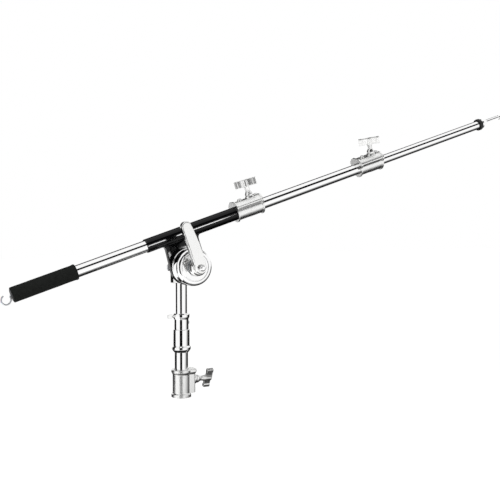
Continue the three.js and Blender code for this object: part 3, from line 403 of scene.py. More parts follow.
# %% Soft and moulded finishes
def grained(name, dark, light, cell_mm, depth, rough, ior=1.5):
    """A matt solid whose colour and height follow one pattern of small cells."""
    material, tree, end, metres = new_finish(name)
    cells = add(tree, "ShaderNodeTexVoronoi", Vector=metres, Scale=per_mm(cell_mm))
    cloud = add(tree, "ShaderNodeTexNoise", Vector=metres, Scale=per_mm(9.0 * cell_mm), Detail=3.0)
    both = add(tree, "ShaderNodeMath", {"operation": "MULTIPLY"},
               in0=cells.outputs["Distance"], in1=cloud.outputs["Fac"])
    spread = add(tree, "ShaderNodeMapRange", Value=both.outputs["Value"], From_Max=0.45)
    tone = add(tree, "ShaderNodeMix", {"data_type": "RGBA"}, Factor=spread.outputs["Result"])
    tone.inputs[6].default_value = linear(dark)
    tone.inputs[7].default_value = linear(light)
    bump = add(tree, "ShaderNodeBump", Height=cells.outputs["Distance"], Strength=1.0,
               Distance=depth)
    solid = add(tree, "ShaderNodeBsdfPrincipled", Base_Color=tone.outputs[2], IOR=ior,
                Roughness=rough, Normal=bump.outputs["Normal"])
    tree.links.new(solid.outputs["BSDF"], end.inputs["Surface"])
    return material


foam_skin = grained("closed_cell_foam", "#090a09", "#191b19", 1.1, 2.5e-4, 0.92, 1.35)
black_rubber = grained("moulded_black_rubber", "#0d0d0d", "#1b1b1b", 0.8, 3.0e-5, 0.55)
dark_nylon = grained("moulded_nylon", "#141416", "#26262a", 1.5, 2.0e-5, 0.45)
fibre_lining = grained("fibre_friction_lining", "#2a211a", "#4a3b2f", 1.0, 6.0e-5, 0.85)
print("finishes:", ", ".join(m.name for m in bpy.data.materials if m.users == 0))

# %% [markdown]
# ## The column
#
# From the bottom up: a stub of riser tube, a turned cap with a lip, the receiver that is
# pressed into it and grips the upper tube, and the upper tube itself. All are plain lathe
# work, and their lips are what catches the light.

# %% Riser, cap and receiver
RISER_TOP = 256.0
SEAM = 207.0
RISER_BORE = 18.2
RISER_OUTER = 20.2
TUBE_OUTER = 17.5

piece("riser_pipe", [spun(ring_section(RISER_BORE, RISER_OUTER, 32, SEAM - 18.3), COLUMN)],
      chrome_plate, "riser", ["riser_tube"])
cap_foot = SEAM - 70.0
piece("riser_collar", [spun([
    (20.5, cap_foot), (22, cap_foot, 0.6), (28.5, cap_foot + 9, 3.2), (28.5, cap_foot + 16, 3.2),
    (25, cap_foot + 20, 2), (25, SEAM - 0.3, 1.2), (20.5, SEAM - 0.3)], COLUMN)],
      chrome_plate, "riser", ["riser_cap"])
piece("receiver_cup", [spun([
    (17.8, SEAM - 18), (20.2, SEAM - 18), (20.2, SEAM), (22, SEAM, 0.5), (22, RISER_TOP - 18, 3),
    (25, RISER_TOP - 11, 3.2), (25, RISER_TOP - 3, 2.4), (22.5, RISER_TOP, 0.8),
    (17.8, RISER_TOP, 0.4)], COLUMN)],
      chrome_plate, "riser", ["receiver"])
set_screw = place((0, 0, RISER_TOP - 29), Y, Z, X)
piece("receiver_screw_head", [spun([
    (0, 19), (2.5, 19), (2.5, 22.3), (5, 22.3, 0.3), (5, 25, 1.2), (2.2, 25, 0.2), (2, 23.2),
    (0, 22.9)], set_screw, 48)], zinc_steel, "riser", ["receiver_set_screw"])

# %% [markdown]
# The thumb screw is a short rod that ends in a flat tab, like a key, so that a gloved hand
# can turn it.

# %% Thumb screw
thumb = place((0, 0, RISER_TOP - 9), X, Z, -Y)
tab = rounded([(-27, -4, 1), (-31, -6, 3), (-44, -6, 3), (-44, 6, 3), (-31, 6, 3), (-27, 4, 1)])
rod = spun([(0, -30), (3, -30), (3, -21.1), (0, -21.1)], place((0, 0, RISER_TOP - 9), Y, Z, X), 48)
piece("thumb_tab", [pushed(tab, -1.5, 1.5, thumb, 0.7), rod],
      cast_chrome, "thumb", ["thumb_screw"])

# %% [markdown]
# ## Castings that grip a tube
#
# The stand clamp and the two boom collars are the same idea: a barrel round the tube with a
# house for the brake shoe on one side. Cut across, each is one closed outline, and only its
# sizes change along the tube, where a flange rises or an edge is rounded. So one function
# draws the collars' section, another the clamp's, and a third skins a row of sections and
# closes them with a straight bore.

# %% Sections and their skin
def polar(radius, angle):
    """Points at an angle from the y axis, turning towards x."""
    return np.reshape(radius, (-1, 1)) * np.stack([np.sin(angle), np.cos(angle)], axis=1)


def whole(side, belly):
    """A closed outline from its right side, the same side mirrored, and the barrel below."""
    return np.concatenate([side, side[::-1] * [-1, 1], belly])


def lobed(barrel, lobe, pad, foot, brow):
    """A barrel circle with a lobe over it. The lobe's wall leaves the barrel at the angle foot
    from +y and leans outwards to the lobe circle at the smaller angle brow. The lobe's top is
    cut flat at height pad."""
    edge = math.acos(pad / lobe)
    corners = polar([barrel, lobe, lobe, lobe], np.array([foot, brow, 0.5 * (brow + edge), edge]))
    side = rounded([(*corners[0], 0), (*corners[1], 5), (*corners[2], 30), (*corners[3], 3),
                    (0, pad)], closed=False)[:-1]
    belly = polar(barrel, np.linspace(-foot, foot - 2 * math.pi, 73)[1:-1])
    return whole(side, belly)


def walled(barrel, front, half, fillet=5.0):
    """A barrel circle and a house with parallel walls, half from the middle plane, whose front
    is a circle of its own. The walls start on the barrel, sqrt(barrel^2 - half^2) out, and the
    shoulders are arcs tangent to wall and front."""
    foot = math.sqrt(barrel ** 2 - half ** 2)
    centre = np.array([half - fillet, math.sqrt((front - fillet) ** 2 - (half - fillet) ** 2)])
    lean = math.atan2(*centre)
    shoulder = centre + polar(fillet, np.linspace(math.pi / 2, lean, 10))
    side = np.concatenate([[[half, foot]], shoulder, polar(front, np.linspace(lean, 0, 9)[1:-1])])
    start = math.atan2(half, foot)
    belly = polar(barrel, np.linspace(-start, start - 2 * math.pi, 73)[1:-1])
    return whole(side, belly)


def cast(heights, sections, bore, where):
    """Shell of a casting along z from one section at each height. A straight bore, given as
    (radius, height) at both ends and drawn at the sections' own angles, runs through it."""
    outer = np.stack([np.concatenate([section, np.full((len(section), 1), height)], axis=1)
                      for section, height in zip(sections, heights)])
    angle = np.arctan2(outer[:, :, 1], outer[:, :, 0])
    ends = []
    for row, (radius, height) in ((-1, bore[1]), (0, bore[0])):
        ends.append(np.stack([radius * np.cos(angle[row]), radius * np.sin(angle[row]),
                              0 * angle[row] + height], axis=-1))
    return shell(carried(np.concatenate([outer, np.stack(ends)]), where), ring=True)


def profile(corners):
    """Rows (height, rise) through corners (height, rise, rounding), ends left open."""
    return held(rounded(corners, closed=False), closed=False)


# %% [markdown]
# ## The stand clamp
#
# The clamp stands on the column with its T-handle towards the boom's tip. Its upper flange is
# higher than the lower one, and a nylon bush keeps the riser from scratching.

# %% Clamp body and its bush
CLAMP_HEIGHT = 84.0
CLAMP_HANDLE_HEIGHT = 50.0
rise = profile([(0, 0), (0, 4, 1), (9, 4, 1.5), (12, 0, 2), (69, 0, 4), (76, 4, 2),
                (CLAMP_HEIGHT, 4, 2.5), (CLAMP_HEIGHT, 0)])
foot_in, foot_out = 11.5, 12.5
house = np.interp(rise[:, 0], [foot_in, foot_out], [-14.0, 0.0])
upper = np.where(rise[:, 0] > 60, rise[:, 1], 0.0)
clamp_sections = [walled(26.8 + r, 42 + h + u, min(19 + u, 26.0))
                  for (_, r), h, u in zip(rise, house, upper)]
clamp_side = place((0, 0, 0), -Y, X, Z)
boss_side = place((0, 0, CLAMP_HANDLE_HEIGHT), Y, Z, X)
clamp_boss = spun([(15, 27), (15, 42), (13, 47.5, 1.5), (6, 47.5, 0.4), (6, 27)], boss_side)
piece("clamp_casting", [cast(rise[:, 0], clamp_sections, ((22.8, 0), (22.3, CLAMP_HEIGHT)),
                             clamp_side), clamp_boss],
      satin_chrome, "base", ["stand_clamp"])
piece("clamp_bush", [spun(ring_section(20.5, 22.3, 72, CLAMP_HEIGHT), COLUMN)],
      dark_nylon, "base", ["riser_bush"])

# %% [markdown]
# ## T-handles
#
# The same cast handle closes the clamp and both collars. A bell skirt covers the boss, a
# waisted neck rises from it, and a cone spreads into two flat blades. The blades stand
# either side of the centre line, so that each thumb pushes on a flat face.

# %% One handle, three times
HANDLE = dict(neck=15.0, stem=30.0, top=51.0, span=34.0, half_blade=3.5, offset=2.6)
COLLARS = ((1, "boom", 196.5, 0.0, 35.0), (2, "main", 670.5, 12.0, 38.0))
HANDLE_IN_COLLAR = 64.5


def handle(foot, where):
    """Shells of a handle whose skirt starts at height foot: a spun body and two blades."""
    neck, stem, top = foot + HANDLE["neck"], foot + HANDLE["stem"], foot + HANDLE["top"]
    body = spun([
        (5.3, foot), (12.2, foot, 0.8), (12.2, foot + 5, 5), (8.0, neck - 1.5, 1.5),
        (6.4, neck, 1), (7.2, neck + 1.5, 1), (9.6, stem, 3), (8.64, top - 1, 0.8),
        (0.4, top - 1), (0.4, foot + 21), (5.3, foot + 21)], where, 64)
    span, offset, half_blade = HANDLE["span"], HANDLE["offset"], HANDLE["half_blade"]
    near, far = offset - half_blade, offset + half_blade
    blades = []
    for side in (1, -1):
        low = [(0, near - 2), (0.4 * span, near, 6), (0.68 * span, near, 2),
               (0.74 * span, near - 2, 1.5), (span, near - 2, 1.4)]
        high = [(x, far + near - y, *r) for x, y, *r in low[::-1]]
        outline = rounded(low + high)
        blades.append(pushed(side * outline, stem, top, where, 1.2))
    return [body, *blades]


def turned_by(base, degrees):
    """The same place turned about its own z."""
    cosine, sine = math.cos(math.radians(degrees)), math.sin(math.radians(degrees))
    x, y = base[:3, 0], base[:3, 1]
    return place(base[:3, 3], cosine * x + sine * y, cosine * y - sine * x, base[:3, 2])


def on_boom(along, lean):
    """The place on the boom's axis at a distance along it, with z up the leaning handle and x
    along the boom."""
    angle = math.radians(lean)
    origin = SLEEVE_ROOT + BOOM_HEIGHT * ABOVE + along * ALONG
    up = math.cos(angle) * ABOVE - math.sin(angle) * Y
    return place(origin, ALONG, math.cos(angle) * Y + math.sin(angle) * ABOVE, up)


for number, _, rear, lean, turn in COLLARS:
    stand = turned_by(on_boom(rear + HANDLE_IN_COLLAR, lean), -turn)
    piece(f"tee_handle_{number}", handle(37.8, stand), satin_chrome, f"handle_{number}",
          [f"t_handle_{number}"])
clamp_stand = turned_by(place((0, 0, CLAMP_HANDLE_HEIGHT), Z, -Y, X), 26.0)
piece("tee_handle_0", handle(47.8, clamp_stand), satin_chrome, "handle_0", ["t_handle_0"])

# %% [markdown]
# ## The head
#
# Under the clutch a short casting sits on the column tube. It is a pot with a domed top, and
# a flared boss on the viewer's side carries the pivot stud. A bolt through it from side to
# side keeps it on the tube.

# %% Upper tube, head casting and its bolt
piece("column_pipe", [spun(ring_section(15.5, TUBE_OUTER, 124, 412), COLUMN)],
      chrome_plate, "head", ["column_tube"])
pot = spun([(17.8, -52, 0.4), (34, -52, 3), (34, 36, 10), (0, 36), (0, 11), (17.8, 11)], HEAD)
boss = spun([(0, 0), (30, 0), (34, 28, 6), (46, 33, 2), (46, 42, 1.5), (8.3, 42, 0.3),
             (8.3, 18), (0, 18)], CLUTCH)
side_axis = place(PIVOT + [0, 0, -5], Y, Z, X)
bolt_seats = spun([(5.3, -34.8), (12.0, -34.8, 0.4), (12.0, 34.8, 0.4), (5.3, 34.8)], side_axis, 64)
piece("head_pot", [pot, boss, bolt_seats], cast_chrome, "head", ["head_casting"])

bolt_end = spun([(0, -36), (5, -36), (5, 45.6, 1), (0, 45.6)], side_axis, 48)
bolt_head = pushed(hexagon(18.5), -42.6, -35.1, side_axis, 0.8)
piece("cross_bolt_bar", [bolt_head, bolt_end], zinc_steel, "head", ["cross_bolt"])
nut = pushed(hexagon(18.5), 35.1, 42.6, side_axis, 0.8)
piece("cross_bolt_nut", [nut], zinc_steel, "head", ["cross_nut"])

# %% [markdown]
# ## The clutch
#
# Two friction discs grip the sleeve's round plate between the head's boss and the big drum.
# The drum is the brightest part of the arm: a cup with a bead at its rim, a rounded front
# edge and a ring turned into its face. A washer, a stack of disc springs and the lever's hub
# sit on it in that order.

# %% Drum, discs, springs and hub
DRUM_BACK, DRUM_FRONT = 67.0, 112.0
piece("drum_cup", [spun([
    (8.3, DRUM_BACK), (16, DRUM_BACK), (16, 105), (46.4, 105, 2), (46.4, DRUM_BACK, 0.3),
    (55.6, DRUM_BACK, 1.2), (55.6, DRUM_BACK + 3, 1.0), (54, DRUM_BACK + 4.2, 0.8),
    (56, DRUM_FRONT, 11), (42.6, DRUM_FRONT, 0.8), (41, DRUM_FRONT - 1.6, 0.9),
    (39.4, DRUM_FRONT, 0.8), (8.3, DRUM_FRONT)], CLUTCH, 160)],
      chrome_plate, "head", ["clutch_drum"])
piece("rear_lining", [spun(ring_section(8.3, 46, 42.3, 45.3), CLUTCH)],
      fibre_lining, "head", ["rear_friction_disc"])
piece("front_lining", [spun(ring_section(8.3, 51.4, 64.7, 66.7), CLUTCH)],
      fibre_lining, "head", ["front_friction_disc"])
piece("washer", [spun(ring_section(8.3, 27, 112.3, 115.3, 0.5), CLUTCH)],
      chrome_plate, "thrust", ["thrust_washer"])
dished = [(8.3, 115.6)]
for turn in range(5):
    dished.append((20.8 if turn % 2 == 0 else 23.0, 115.6 + 2.0 * turn, 0.3 if turn % 2 else 0))
dished.append((8.3, 123.6))
piece("springs", [spun(dished, CLUTCH)], spring_steel, "thrust", ["disc_springs"])
piece("hub", [spun([
    (8.3, 123.9), (25, 123.9, 1), (25, 128.9, 1.2), (21, 130.4, 1), (21, 134.4, 1),
    (23.5, 135.9, 1), (23.5, 138.9, 1), (19, 142.9, 1), (8.3, 142.9)], CLUTCH)],
      cast_chrome, "lever", ["lever_hub"])

# %% [markdown]
# ## The lever
#
# The lever is a long flat casting with two round ends, straight on one side and gently
# swollen on the other, and hollow behind. Its skin is drawn as rings: each ring is the
# outline drawn in towards the middle by a share. Near an edge, how far a point stands below
# the front depends only on its distance to that edge, and that gives every edge the same
# round. Towards the eye the whole face sinks a little as well.

# %% Lever with a crowned face
LEVER_BACK, LEVER_FRONT = 143.2, 160.8
EDGE = 4.2
CROWN = 0.2
BOW = 5.0
BOW_FROM = 60.0
EYE_RADIUS, TIP_RADIUS, BELLY = 17.2, 15.0, 22.2
TIP_HEIGHT, TIP_SHIFT = 127.0, 2.2
HOLLOW = 11.6
LEVER_MIDDLE = np.array([0.0, 60.0])


def lever_outline(shrink=0.0):
    """Half circle of the eye, the swelling edge as a quadratic curve, half circle of the tip."""
    eye, tip, belly = EYE_RADIUS - shrink, TIP_RADIUS - shrink, BELLY - shrink
    low = np.linspace(math.pi, 2 * math.pi, 60)
    eye_arc = np.stack([eye * np.cos(low), eye * np.sin(low)], 1)
    t = np.linspace(0, 1, 80)[1:-1, None]
    start, middle, end = np.array([[eye, 0], [belly, 0.45 * TIP_HEIGHT],
                                   [tip - TIP_SHIFT, TIP_HEIGHT]])
    swell = (1 - t) ** 2 * start + 2 * t * (1 - t) * middle + t ** 2 * end
    high = np.linspace(0, math.pi, 60)
    tip_arc = np.stack([tip * np.cos(high) - TIP_SHIFT, tip * np.sin(high) + TIP_HEIGHT], 1)
    straight = np.linspace([-TIP_SHIFT - tip, TIP_HEIGHT], [-eye, 0], 60)[1:-1]
    return np.concatenate([eye_arc, swell, tip_arc, straight])


def crowned(outline, share):
    """Rings from the outline to its middle and their depth: within EDGE of the outline the
    face falls on a quarter circle, over the rest it swells by CROWN towards the middle, and
    from BOW_FROM down to the eye's end it sinks by BOW u^2, with u growing from 0 to 1."""
    rings = outline[None] * (1 - share[:, None, None]) + LEVER_MIDDLE * share[:, None, None]
    gap = rings.reshape(-1, 1, 2) - outline[None]
    near = np.sqrt((gap ** 2).sum(-1)).min(1).reshape(rings.shape[:2])
    fall = EDGE - np.sqrt(EDGE ** 2 - np.clip(EDGE - near, 0, EDGE) ** 2)
    swell = CROWN * np.clip(near / 15.0, 0, 1)
    bow = BOW * np.clip((BOW_FROM - rings[..., 1]) / (BOW_FROM + EYE_RADIUS), 0, 1) ** 2
    return rings, LEVER_FRONT - CROWN - fall + swell - bow


share = np.concatenate([[0, .002, .005, .01, .016, .024, .034, .046, .06, .08, .1, .13],
                        np.linspace(.17, 1, 18)])
outline = lever_outline()
rings, depth = crowned(outline, share)
face = np.concatenate([rings, depth[..., None]], axis=-1)
back = lever_outline(1.0)
wall = lever_outline(4.0)
flat = np.full((len(outline), 1), 1.0)
sides = np.stack([
    np.concatenate([wall, flat * (LEVER_BACK + HOLLOW)], 1),
    np.concatenate([wall, flat * (LEVER_BACK + 0.4)], 1),
    np.concatenate([wall, flat * LEVER_BACK], 1),
    np.concatenate([back, flat * LEVER_BACK], 1),
    np.concatenate([lever_outline(0.3), flat * (LEVER_BACK + 0.3)], 1),
    np.concatenate([outline, flat * (LEVER_BACK + 1.0)], 1),
    np.concatenate([outline, flat * (LEVER_FRONT - BOW - EDGE - 1.0)], 1)])
floor_rings = np.stack([np.concatenate([wall * (1 - s) + LEVER_MIDDLE * s,
                                        flat * (LEVER_BACK + HOLLOW)], 1) for s in (1.0, 0.5)])
skin = np.concatenate([floor_rings, sides, face])
eye_boss = spun([(5.3, LEVER_BACK), (15.5, LEVER_BACK, 0.4), (15.5, 157), (5.3, 157)], LEVER)
piece("lever_blade", [shell(carried(skin, LEVER)), eye_boss], hand_polished, "lever",
      ["lever_arm"])
piece("cap_nut", [spun([
    (5.3, 161.1), (10, 161.1, 0.3), (10, 163.6, 0.8), (8.4, 164.3, 0.3), (8.4, 172.1, 5),
    (0, 172.1), (0, 168.4), (5.3, 168.4)], CLUTCH, 64)],
      chrome_plate, "lever", ["lever_cap_nut"])

# %% [markdown]
# ## The black sleeve
#
# One casting again: a pipe that the boom slides through, and under it a neck that thins to
# the flat round plate in the clutch. The neck is a stack of rounded rectangles. Going up,
# their width spreads at the top in a fillet along the pipe, and their thickness flares out
# to the pipe's own width, so plate and pipe flow into each other.

# %% Pipe, neck and plate
SLEEVE_RADIUS, SLEEVE_BORE = 20.5, 18.9
SLEEVE_REAR, SLEEVE_FRONT = -106.0, 238.7
PLATE_RADIUS = 56.5
PLATE_HOLE = 8.3
NECK_TAPER = 5.0
NECK_TOP_RADIUS = 19.7
NECK_FOOT, NECK_HEAD = 8.6, 94.0
NECK_HALF, NECK_HEAD_HALF = 9.4, 19.0
NECK_REACH = 14.0


def bend(t, start, control, end):
    """Quadratic curve from start to end, drawn towards control."""
    return (1 - t) ** 2 * start + 2 * t * (1 - t) * control + t ** 2 * end


def neck():
    """Shell of the neck: at each height a rectangle with rounded corners. Its front edge, its
    rear edge, which draws in towards the pipe, and its half thickness follow three curves.
    It starts clear of the plate's hole, a little narrower there so that it leaves the round
    plate without a step. No point is higher than pipe height - sqrt(NECK_TOP_RADIUS ** 2 - y ** 2),
    so the top follows the middle of the pipe's wall and leaves the bore free."""
    t = np.linspace(0, 1, 24)
    edge_z, reach = bend(t, 67.5, 81.5, 82.5), bend(t, 0.0, 0.0, NECK_REACH)
    thick_z, thick = bend(t, 59.0, 82.5, NECK_HEAD), bend(t, NECK_HALF, NECK_HALF, NECK_HEAD_HALF)
    height = np.unique(np.concatenate([[NECK_FOOT, 14, 20, 40, 55], edge_z, thick_z, [NECK_HEAD]]))
    flare = np.interp(height, np.r_[0, edge_z, NECK_HEAD], np.r_[0.0, reach, NECK_REACH])
    edge = PLATE_RADIUS + flare - np.interp(height, [NECK_FOOT, 14, 20], [0.66, 0.2, 0.0])
    front, rear = edge, edge - np.interp(height, [0, 67.5], [0, NECK_TAPER])
    half_thick = np.interp(height, np.r_[0, thick_z], np.r_[NECK_HALF, thick])
    corner = np.interp(height, [0, 70, 83, NECK_HEAD], [2.5, 2.5, 5, 6])
    rows = []
    for z, f, r, h, c in zip(height, front, rear, half_thick, corner):
        side = np.linspace(-0.8, 0.8, 9) * (h - c)
        section = rounded([(f, -h, c), *((f, y) for y in side), (f, h, c),
                           (-r, h, c), *((-r, -y) for y in side), (-r, -h, c)])
        under_bore = BOOM_HEIGHT - np.sqrt(NECK_TOP_RADIUS ** 2 - section[:, 1:] ** 2)
        rows.append(np.concatenate([section, np.minimum(z, under_bore)], axis=1))
    points, faces = shell(carried(np.stack(rows), NECK))
    around = len(rows[0])
    top = len(points) - around
    strips = [[top + i, top + i + 1, top + around - 2 - i, top + around - 1 - i]
              for i in range(around // 2 - 1)]
    return points, faces + [list(range(around))] + strips


pipe = spun(ring_section(SLEEVE_BORE, SLEEVE_RADIUS, SLEEVE_REAR, SLEEVE_FRONT, 0.7), BOOM)
plate = spun([(PLATE_HOLE, -9.45), (PLATE_RADIUS, -9.45, 2.5), (PLATE_RADIUS, 9.45, 2.5),
              (PLATE_HOLE, 9.45)], PLATE, 160)
piece("sleeve", [pipe, neck(), plate], black_coat, "boom", ["boom_sleeve"])
for name, start in (("rear_glide", SLEEVE_REAR + 2), ("front_glide", SLEEVE_FRONT - 32)):
    piece(name + "_ring", [spun(ring_section(17.8, 18.6, start, start + 30), BOOM)],
          dark_nylon, "boom", [name])

# %% [markdown]
# ## Tubes, collars and tip
#
# The two boom tubes are plain. Each collar is a lobed casting again: a flange at each end, a
# barrel that steps up by less than a millimetre half way, and the brake's housing on top.

# %% Boom tubes
MAIN_REAR, MAIN_FRONT = -503.0, 712.7
INNER_REAR, INNER_FRONT = 130.0, 1236.0
WALL = 1.5
INNER_OUTER = 15.0
piece("outer_boom_tube",
      [spun(ring_section(TUBE_OUTER - WALL, TUBE_OUTER, MAIN_REAR, MAIN_FRONT), BOOM, 128)],
      chrome_plate, "main", ["main_tube"])
piece("inner_boom_tube",
      [spun(ring_section(INNER_OUTER - WALL, INNER_OUTER, INNER_REAR, INNER_FRONT), BOOM, 128)],
      chrome_plate, "inner", ["inner_tube"])

# %% Collars
COLLAR_LENGTH = 94.0
COLLAR_BARREL, COLLAR_LOBE, COLLAR_PAD = 24.0, 35.0, 32.0
rise = profile([(0, 0), (0, 4, 1.4), (5, 4, 1.4), (5, 0, 1.2), (47, 0, 0.15), (47, 0.7, 0.15),
                (89, 0.7, 1.2), (89, 4, 1.4), (COLLAR_LENGTH, 4, 1.4), (COLLAR_LENGTH, 0)])
base = lobed(COLLAR_BARREL, COLLAR_LOBE, COLLAR_PAD, math.radians(73), math.radians(59))
collar_sections = [inset(base, -r) for r in rise[:, 1]]
collar_boss = [(5.3, 24), (16, 24), (15, 32, 1.5), (13, 37.5, 1.5), (5.3, 37.5)]
dome = [(0, 24), (7.5, 24), (7.5, 38.5, 5), (0, 38.5)]
for number, body, rear, lean, _ in COLLARS:
    seat = on_boom(rear, lean)
    across = place(seat[:3, 3], seat[:3, 1], seat[:3, 2], ALONG)
    carrier, slider = ((SLEEVE_RADIUS, TUBE_OUTER), (TUBE_OUTER, INNER_OUTER))[number - 1]
    shells = [cast(rise[:, 0], collar_sections,
                   ((carrier + 0.3, 0), (slider + 0.3, COLLAR_LENGTH)), across)]
    for section, x in ((collar_boss, HANDLE_IN_COLLAR), (dome, 28), (dome, COLLAR_LENGTH - 8)):
        shells.append(spun(section, on_boom(rear + x, lean), 64))
    piece(f"lock_collar_{number}", shells, satin_chrome, body, [f"collar_{number}"])

# %% [markdown]
# The tip of the inner tube carries a rubber ring, a small cap, and the stud that every lamp
# head in the trade fits: 16 mm across, with a groove for the locking screw.

# %% Ring, cap and stud
piece("end_ring", [spun(ring_section(15.3, 20.5, 1221, 1233, 2.4), BOOM)],
      black_rubber, "inner", ["stop_ring"])
piece("end_cap", [spun([
    (8.3, 1206.3), (13.2, 1206.3), (13.2, 1236.3), (16.6, 1236.3, 0.4), (16.6, 1242.3, 2),
    (10.6, 1258.3, 1), (10.2, 1261.3, 0.4), (8.3, 1261.3)], BOOM)],
      chrome_plate, "inner", ["tip_cap"])
piece("stud", [spun([
    (0, 1206), (8, 1206), (8, 1321, 0.6), (6.4, 1322.6, 0.4), (6.4, 1327.4, 0.4),
    (8, 1329, 0.6), (8, 1334.5, 0.3), (6.5, 1336, 0.3), (0, 1336)], BOOM, 64)],
      chrome_plate, "inner", ["tip_spigot"])

# %% [markdown]
# ## The grip
#
# A foam grip is cut from extruded tube and pushed on with a little stretch. Its outside is
# never a perfect cylinder: it swells and dips by a few tenths of a millimetre, its ends are
# soft, and the end nearer the sleeve is rolled up into a small cuff. The radius is a smooth
# profile plus two slow waves, along and round the tube.

# %% Foam grip
GRIP_REAR, GRIP_FRONT = -505.0, -321.0
GRIP_BORE, GRIP_RADIUS, GRIP_CUFF = 17.6, 21.9, 22.8
SLOW_WAVE, FINE_WAVE = 0.25, 0.10


def foam_tube():
    """Shell of the grip: radius profile(z) - 0.25 (1 + sin(z / 9) sin(3 a + z / 40)) / 2 - 0.1
    times a second wave, on the outside only; the bore is a plain circle."""
    section = held(rounded([
        (GRIP_RADIUS, GRIP_REAR, 2.5), (GRIP_RADIUS, GRIP_FRONT - 8, 2),
        (GRIP_CUFF, GRIP_FRONT - 6.5, 0.8), (GRIP_CUFF, GRIP_FRONT, 1.8),
        (GRIP_BORE, GRIP_FRONT, 0.5), (GRIP_BORE, GRIP_REAR, 0.5)]))
    long = np.linspace(GRIP_REAR + 6, GRIP_FRONT - 12, 90)
    first = int(np.argmax(section[:, 1] > GRIP_REAR + 3.5))
    section = np.concatenate([section[:first], np.stack([0 * long + GRIP_RADIUS, long], 1),
                              section[first:]])
    section = section[np.r_[True, np.linalg.norm(np.diff(section, axis=0), axis=1) > 1e-6]]
    angle = np.linspace(0, 2 * math.pi, 144, endpoint=False)
    radius, height = section[:, :1], section[:, 1:]
    outside = np.clip((radius - GRIP_BORE - 1) / 2, 0, 1)
    wave = 0.5 + 0.5 * np.sin(height / 9) * np.sin(3 * angle + height / 40)
    fine = 0.5 + 0.5 * np.sin(height / 2.3 + 5 * angle) * np.sin(7 * angle - height / 3.1)
    bumpy = radius - outside * (SLOW_WAVE * wave + FINE_WAVE * fine)
    grid = np.stack([bumpy * np.cos(angle), bumpy * np.sin(angle), height + 0 * angle], -1)
    return shell(carried(grid, BOOM), ring=True)


grip = piece("grip", [foam_tube()], foam_skin, "main", ["foam_grip"])

# %% [markdown]
# ## Plug and hook
#
# The rear end is closed by a nylon plug, and a hook of bent wire comes out of its middle for
# a weight bag. The wire is a circle carried along a line: straight out of the plug, round a
# small bend down the end face, and on into an open ring.

# %% Plug and wire hook
piece("end_plug", [spun([
    (2.3, -506.3, 0.3), (17.5, -506.3, 0.8), (17.5, -503.3), (15.7, -503.3), (15.7, -479),
    (6, -479), (6, -499.3), (2.3, -499.3)], BOOM)], dark_nylon, "main", ["rear_plug"])
WIRE, WIRE_BEND = 2.0, 3.0
WIRE_START, DROP_X = -490.3, -510.3
RING_RADIUS, RING_ARC, RING_Z = 12.8, math.radians(248), -7.0


def wire_hook():
    """Shell of the hook: centre points in the plane of the boom, each with its side direction,
    and round them circles of the wire's radius that shrink to a point at both ends."""
    straight = np.stack([np.linspace(WIRE_START, DROP_X + WIRE_BEND, 12), np.zeros(12)], 1)
    turn = np.linspace(0, math.pi / 2, 12)[1:, None]
    bend_points = np.array([DROP_X + WIRE_BEND, -WIRE_BEND]) + WIRE_BEND * np.concatenate(
        [-np.sin(turn), np.cos(turn)], 1)
    drop = np.linspace([DROP_X, -WIRE_BEND], [DROP_X, RING_Z], 5)[1:]
    angle = -np.linspace(0, RING_ARC, 90)[1:, None]
    loop = np.array([DROP_X - RING_RADIUS, RING_Z]) + RING_RADIUS * np.concatenate(
        [np.cos(angle), np.sin(angle)], 1)
    line = np.concatenate([straight, bend_points, drop, loop])
    way = np.gradient(line, axis=0)
    way /= np.linalg.norm(way, axis=1, keepdims=True)
    side = np.stack([-way[:, 1], way[:, 0]], 1)
    round_off = np.linspace(0, math.pi / 2, 6)
    tip = line[-1] + WIRE * np.sin(round_off[1:, None]) * way[-1]
    line = np.concatenate([line[:1], line, tip])
    side = np.concatenate([side[:1], side, np.repeat(side[-1:], 5, 0)])
    radius = np.concatenate(
        [[0.0], np.full(len(line) - 6, WIRE), WIRE * np.cos(round_off[1:])])[:, None]
    turn = np.linspace(0, 2 * math.pi, 20, endpoint=False)
    along = line[:, :1] + radius * side[:, :1] * np.cos(turn)
    up = line[:, 1:] + radius * side[:, 1:] * np.cos(turn)
    out = radius * np.sin(turn)
    return shell(carried(np.stack([out, up, along], -1), BOOM))


piece("weight_hook", [wire_hook()], zinc_steel, "hook", ["hook"])

# %% [markdown]
# ## Small parts that stay as measured
#
# The brake shoes, the screws' shanks and the glides inside the tubes are already the right
# shape in the measured model. They only need the finish that each has in the workshop.

# %% Finishes on the measured parts
kept_finishes = {
    machined_brass: ("brake_shoe_0", "brake_shoe_1", "brake_shoe_2", "thumb_pad"),
    zinc_steel: ("clamp_screw_0", "clamp_screw_1", "clamp_screw_2", "pivot_stud", "hook_nut"),
    dark_nylon: ("column_end_glide", "inner_glide")}
for finish, names in kept_finishes.items():
    for name in names:
        for material_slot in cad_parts[name].material_slots:
            material_slot.material = finish
print("measured parts dressed:", sum(len(names) for names in kept_finishes.values()))

# %% [markdown]
# ## Floor and white surroundings
#
# The picture has a pure white ground. The room here is white as well, and at a strength of one
# it is seen by the camera and mirrored by the chrome just as white. The same room lights the
# object more gently, through the rays that only spread light. The floor lies where a stand
# would put it, a metre down, and shows the soft shadow of the arm.

# %% World and floor
def emission_material(name):
    """An empty material with its output, for the screens and the floor."""
    material = bpy.data.materials.new(name)
    material.use_nodes = True
    material.node_tree.nodes.clear()
    return material, material.node_tree, add(material.node_tree, "ShaderNodeOutputMaterial")


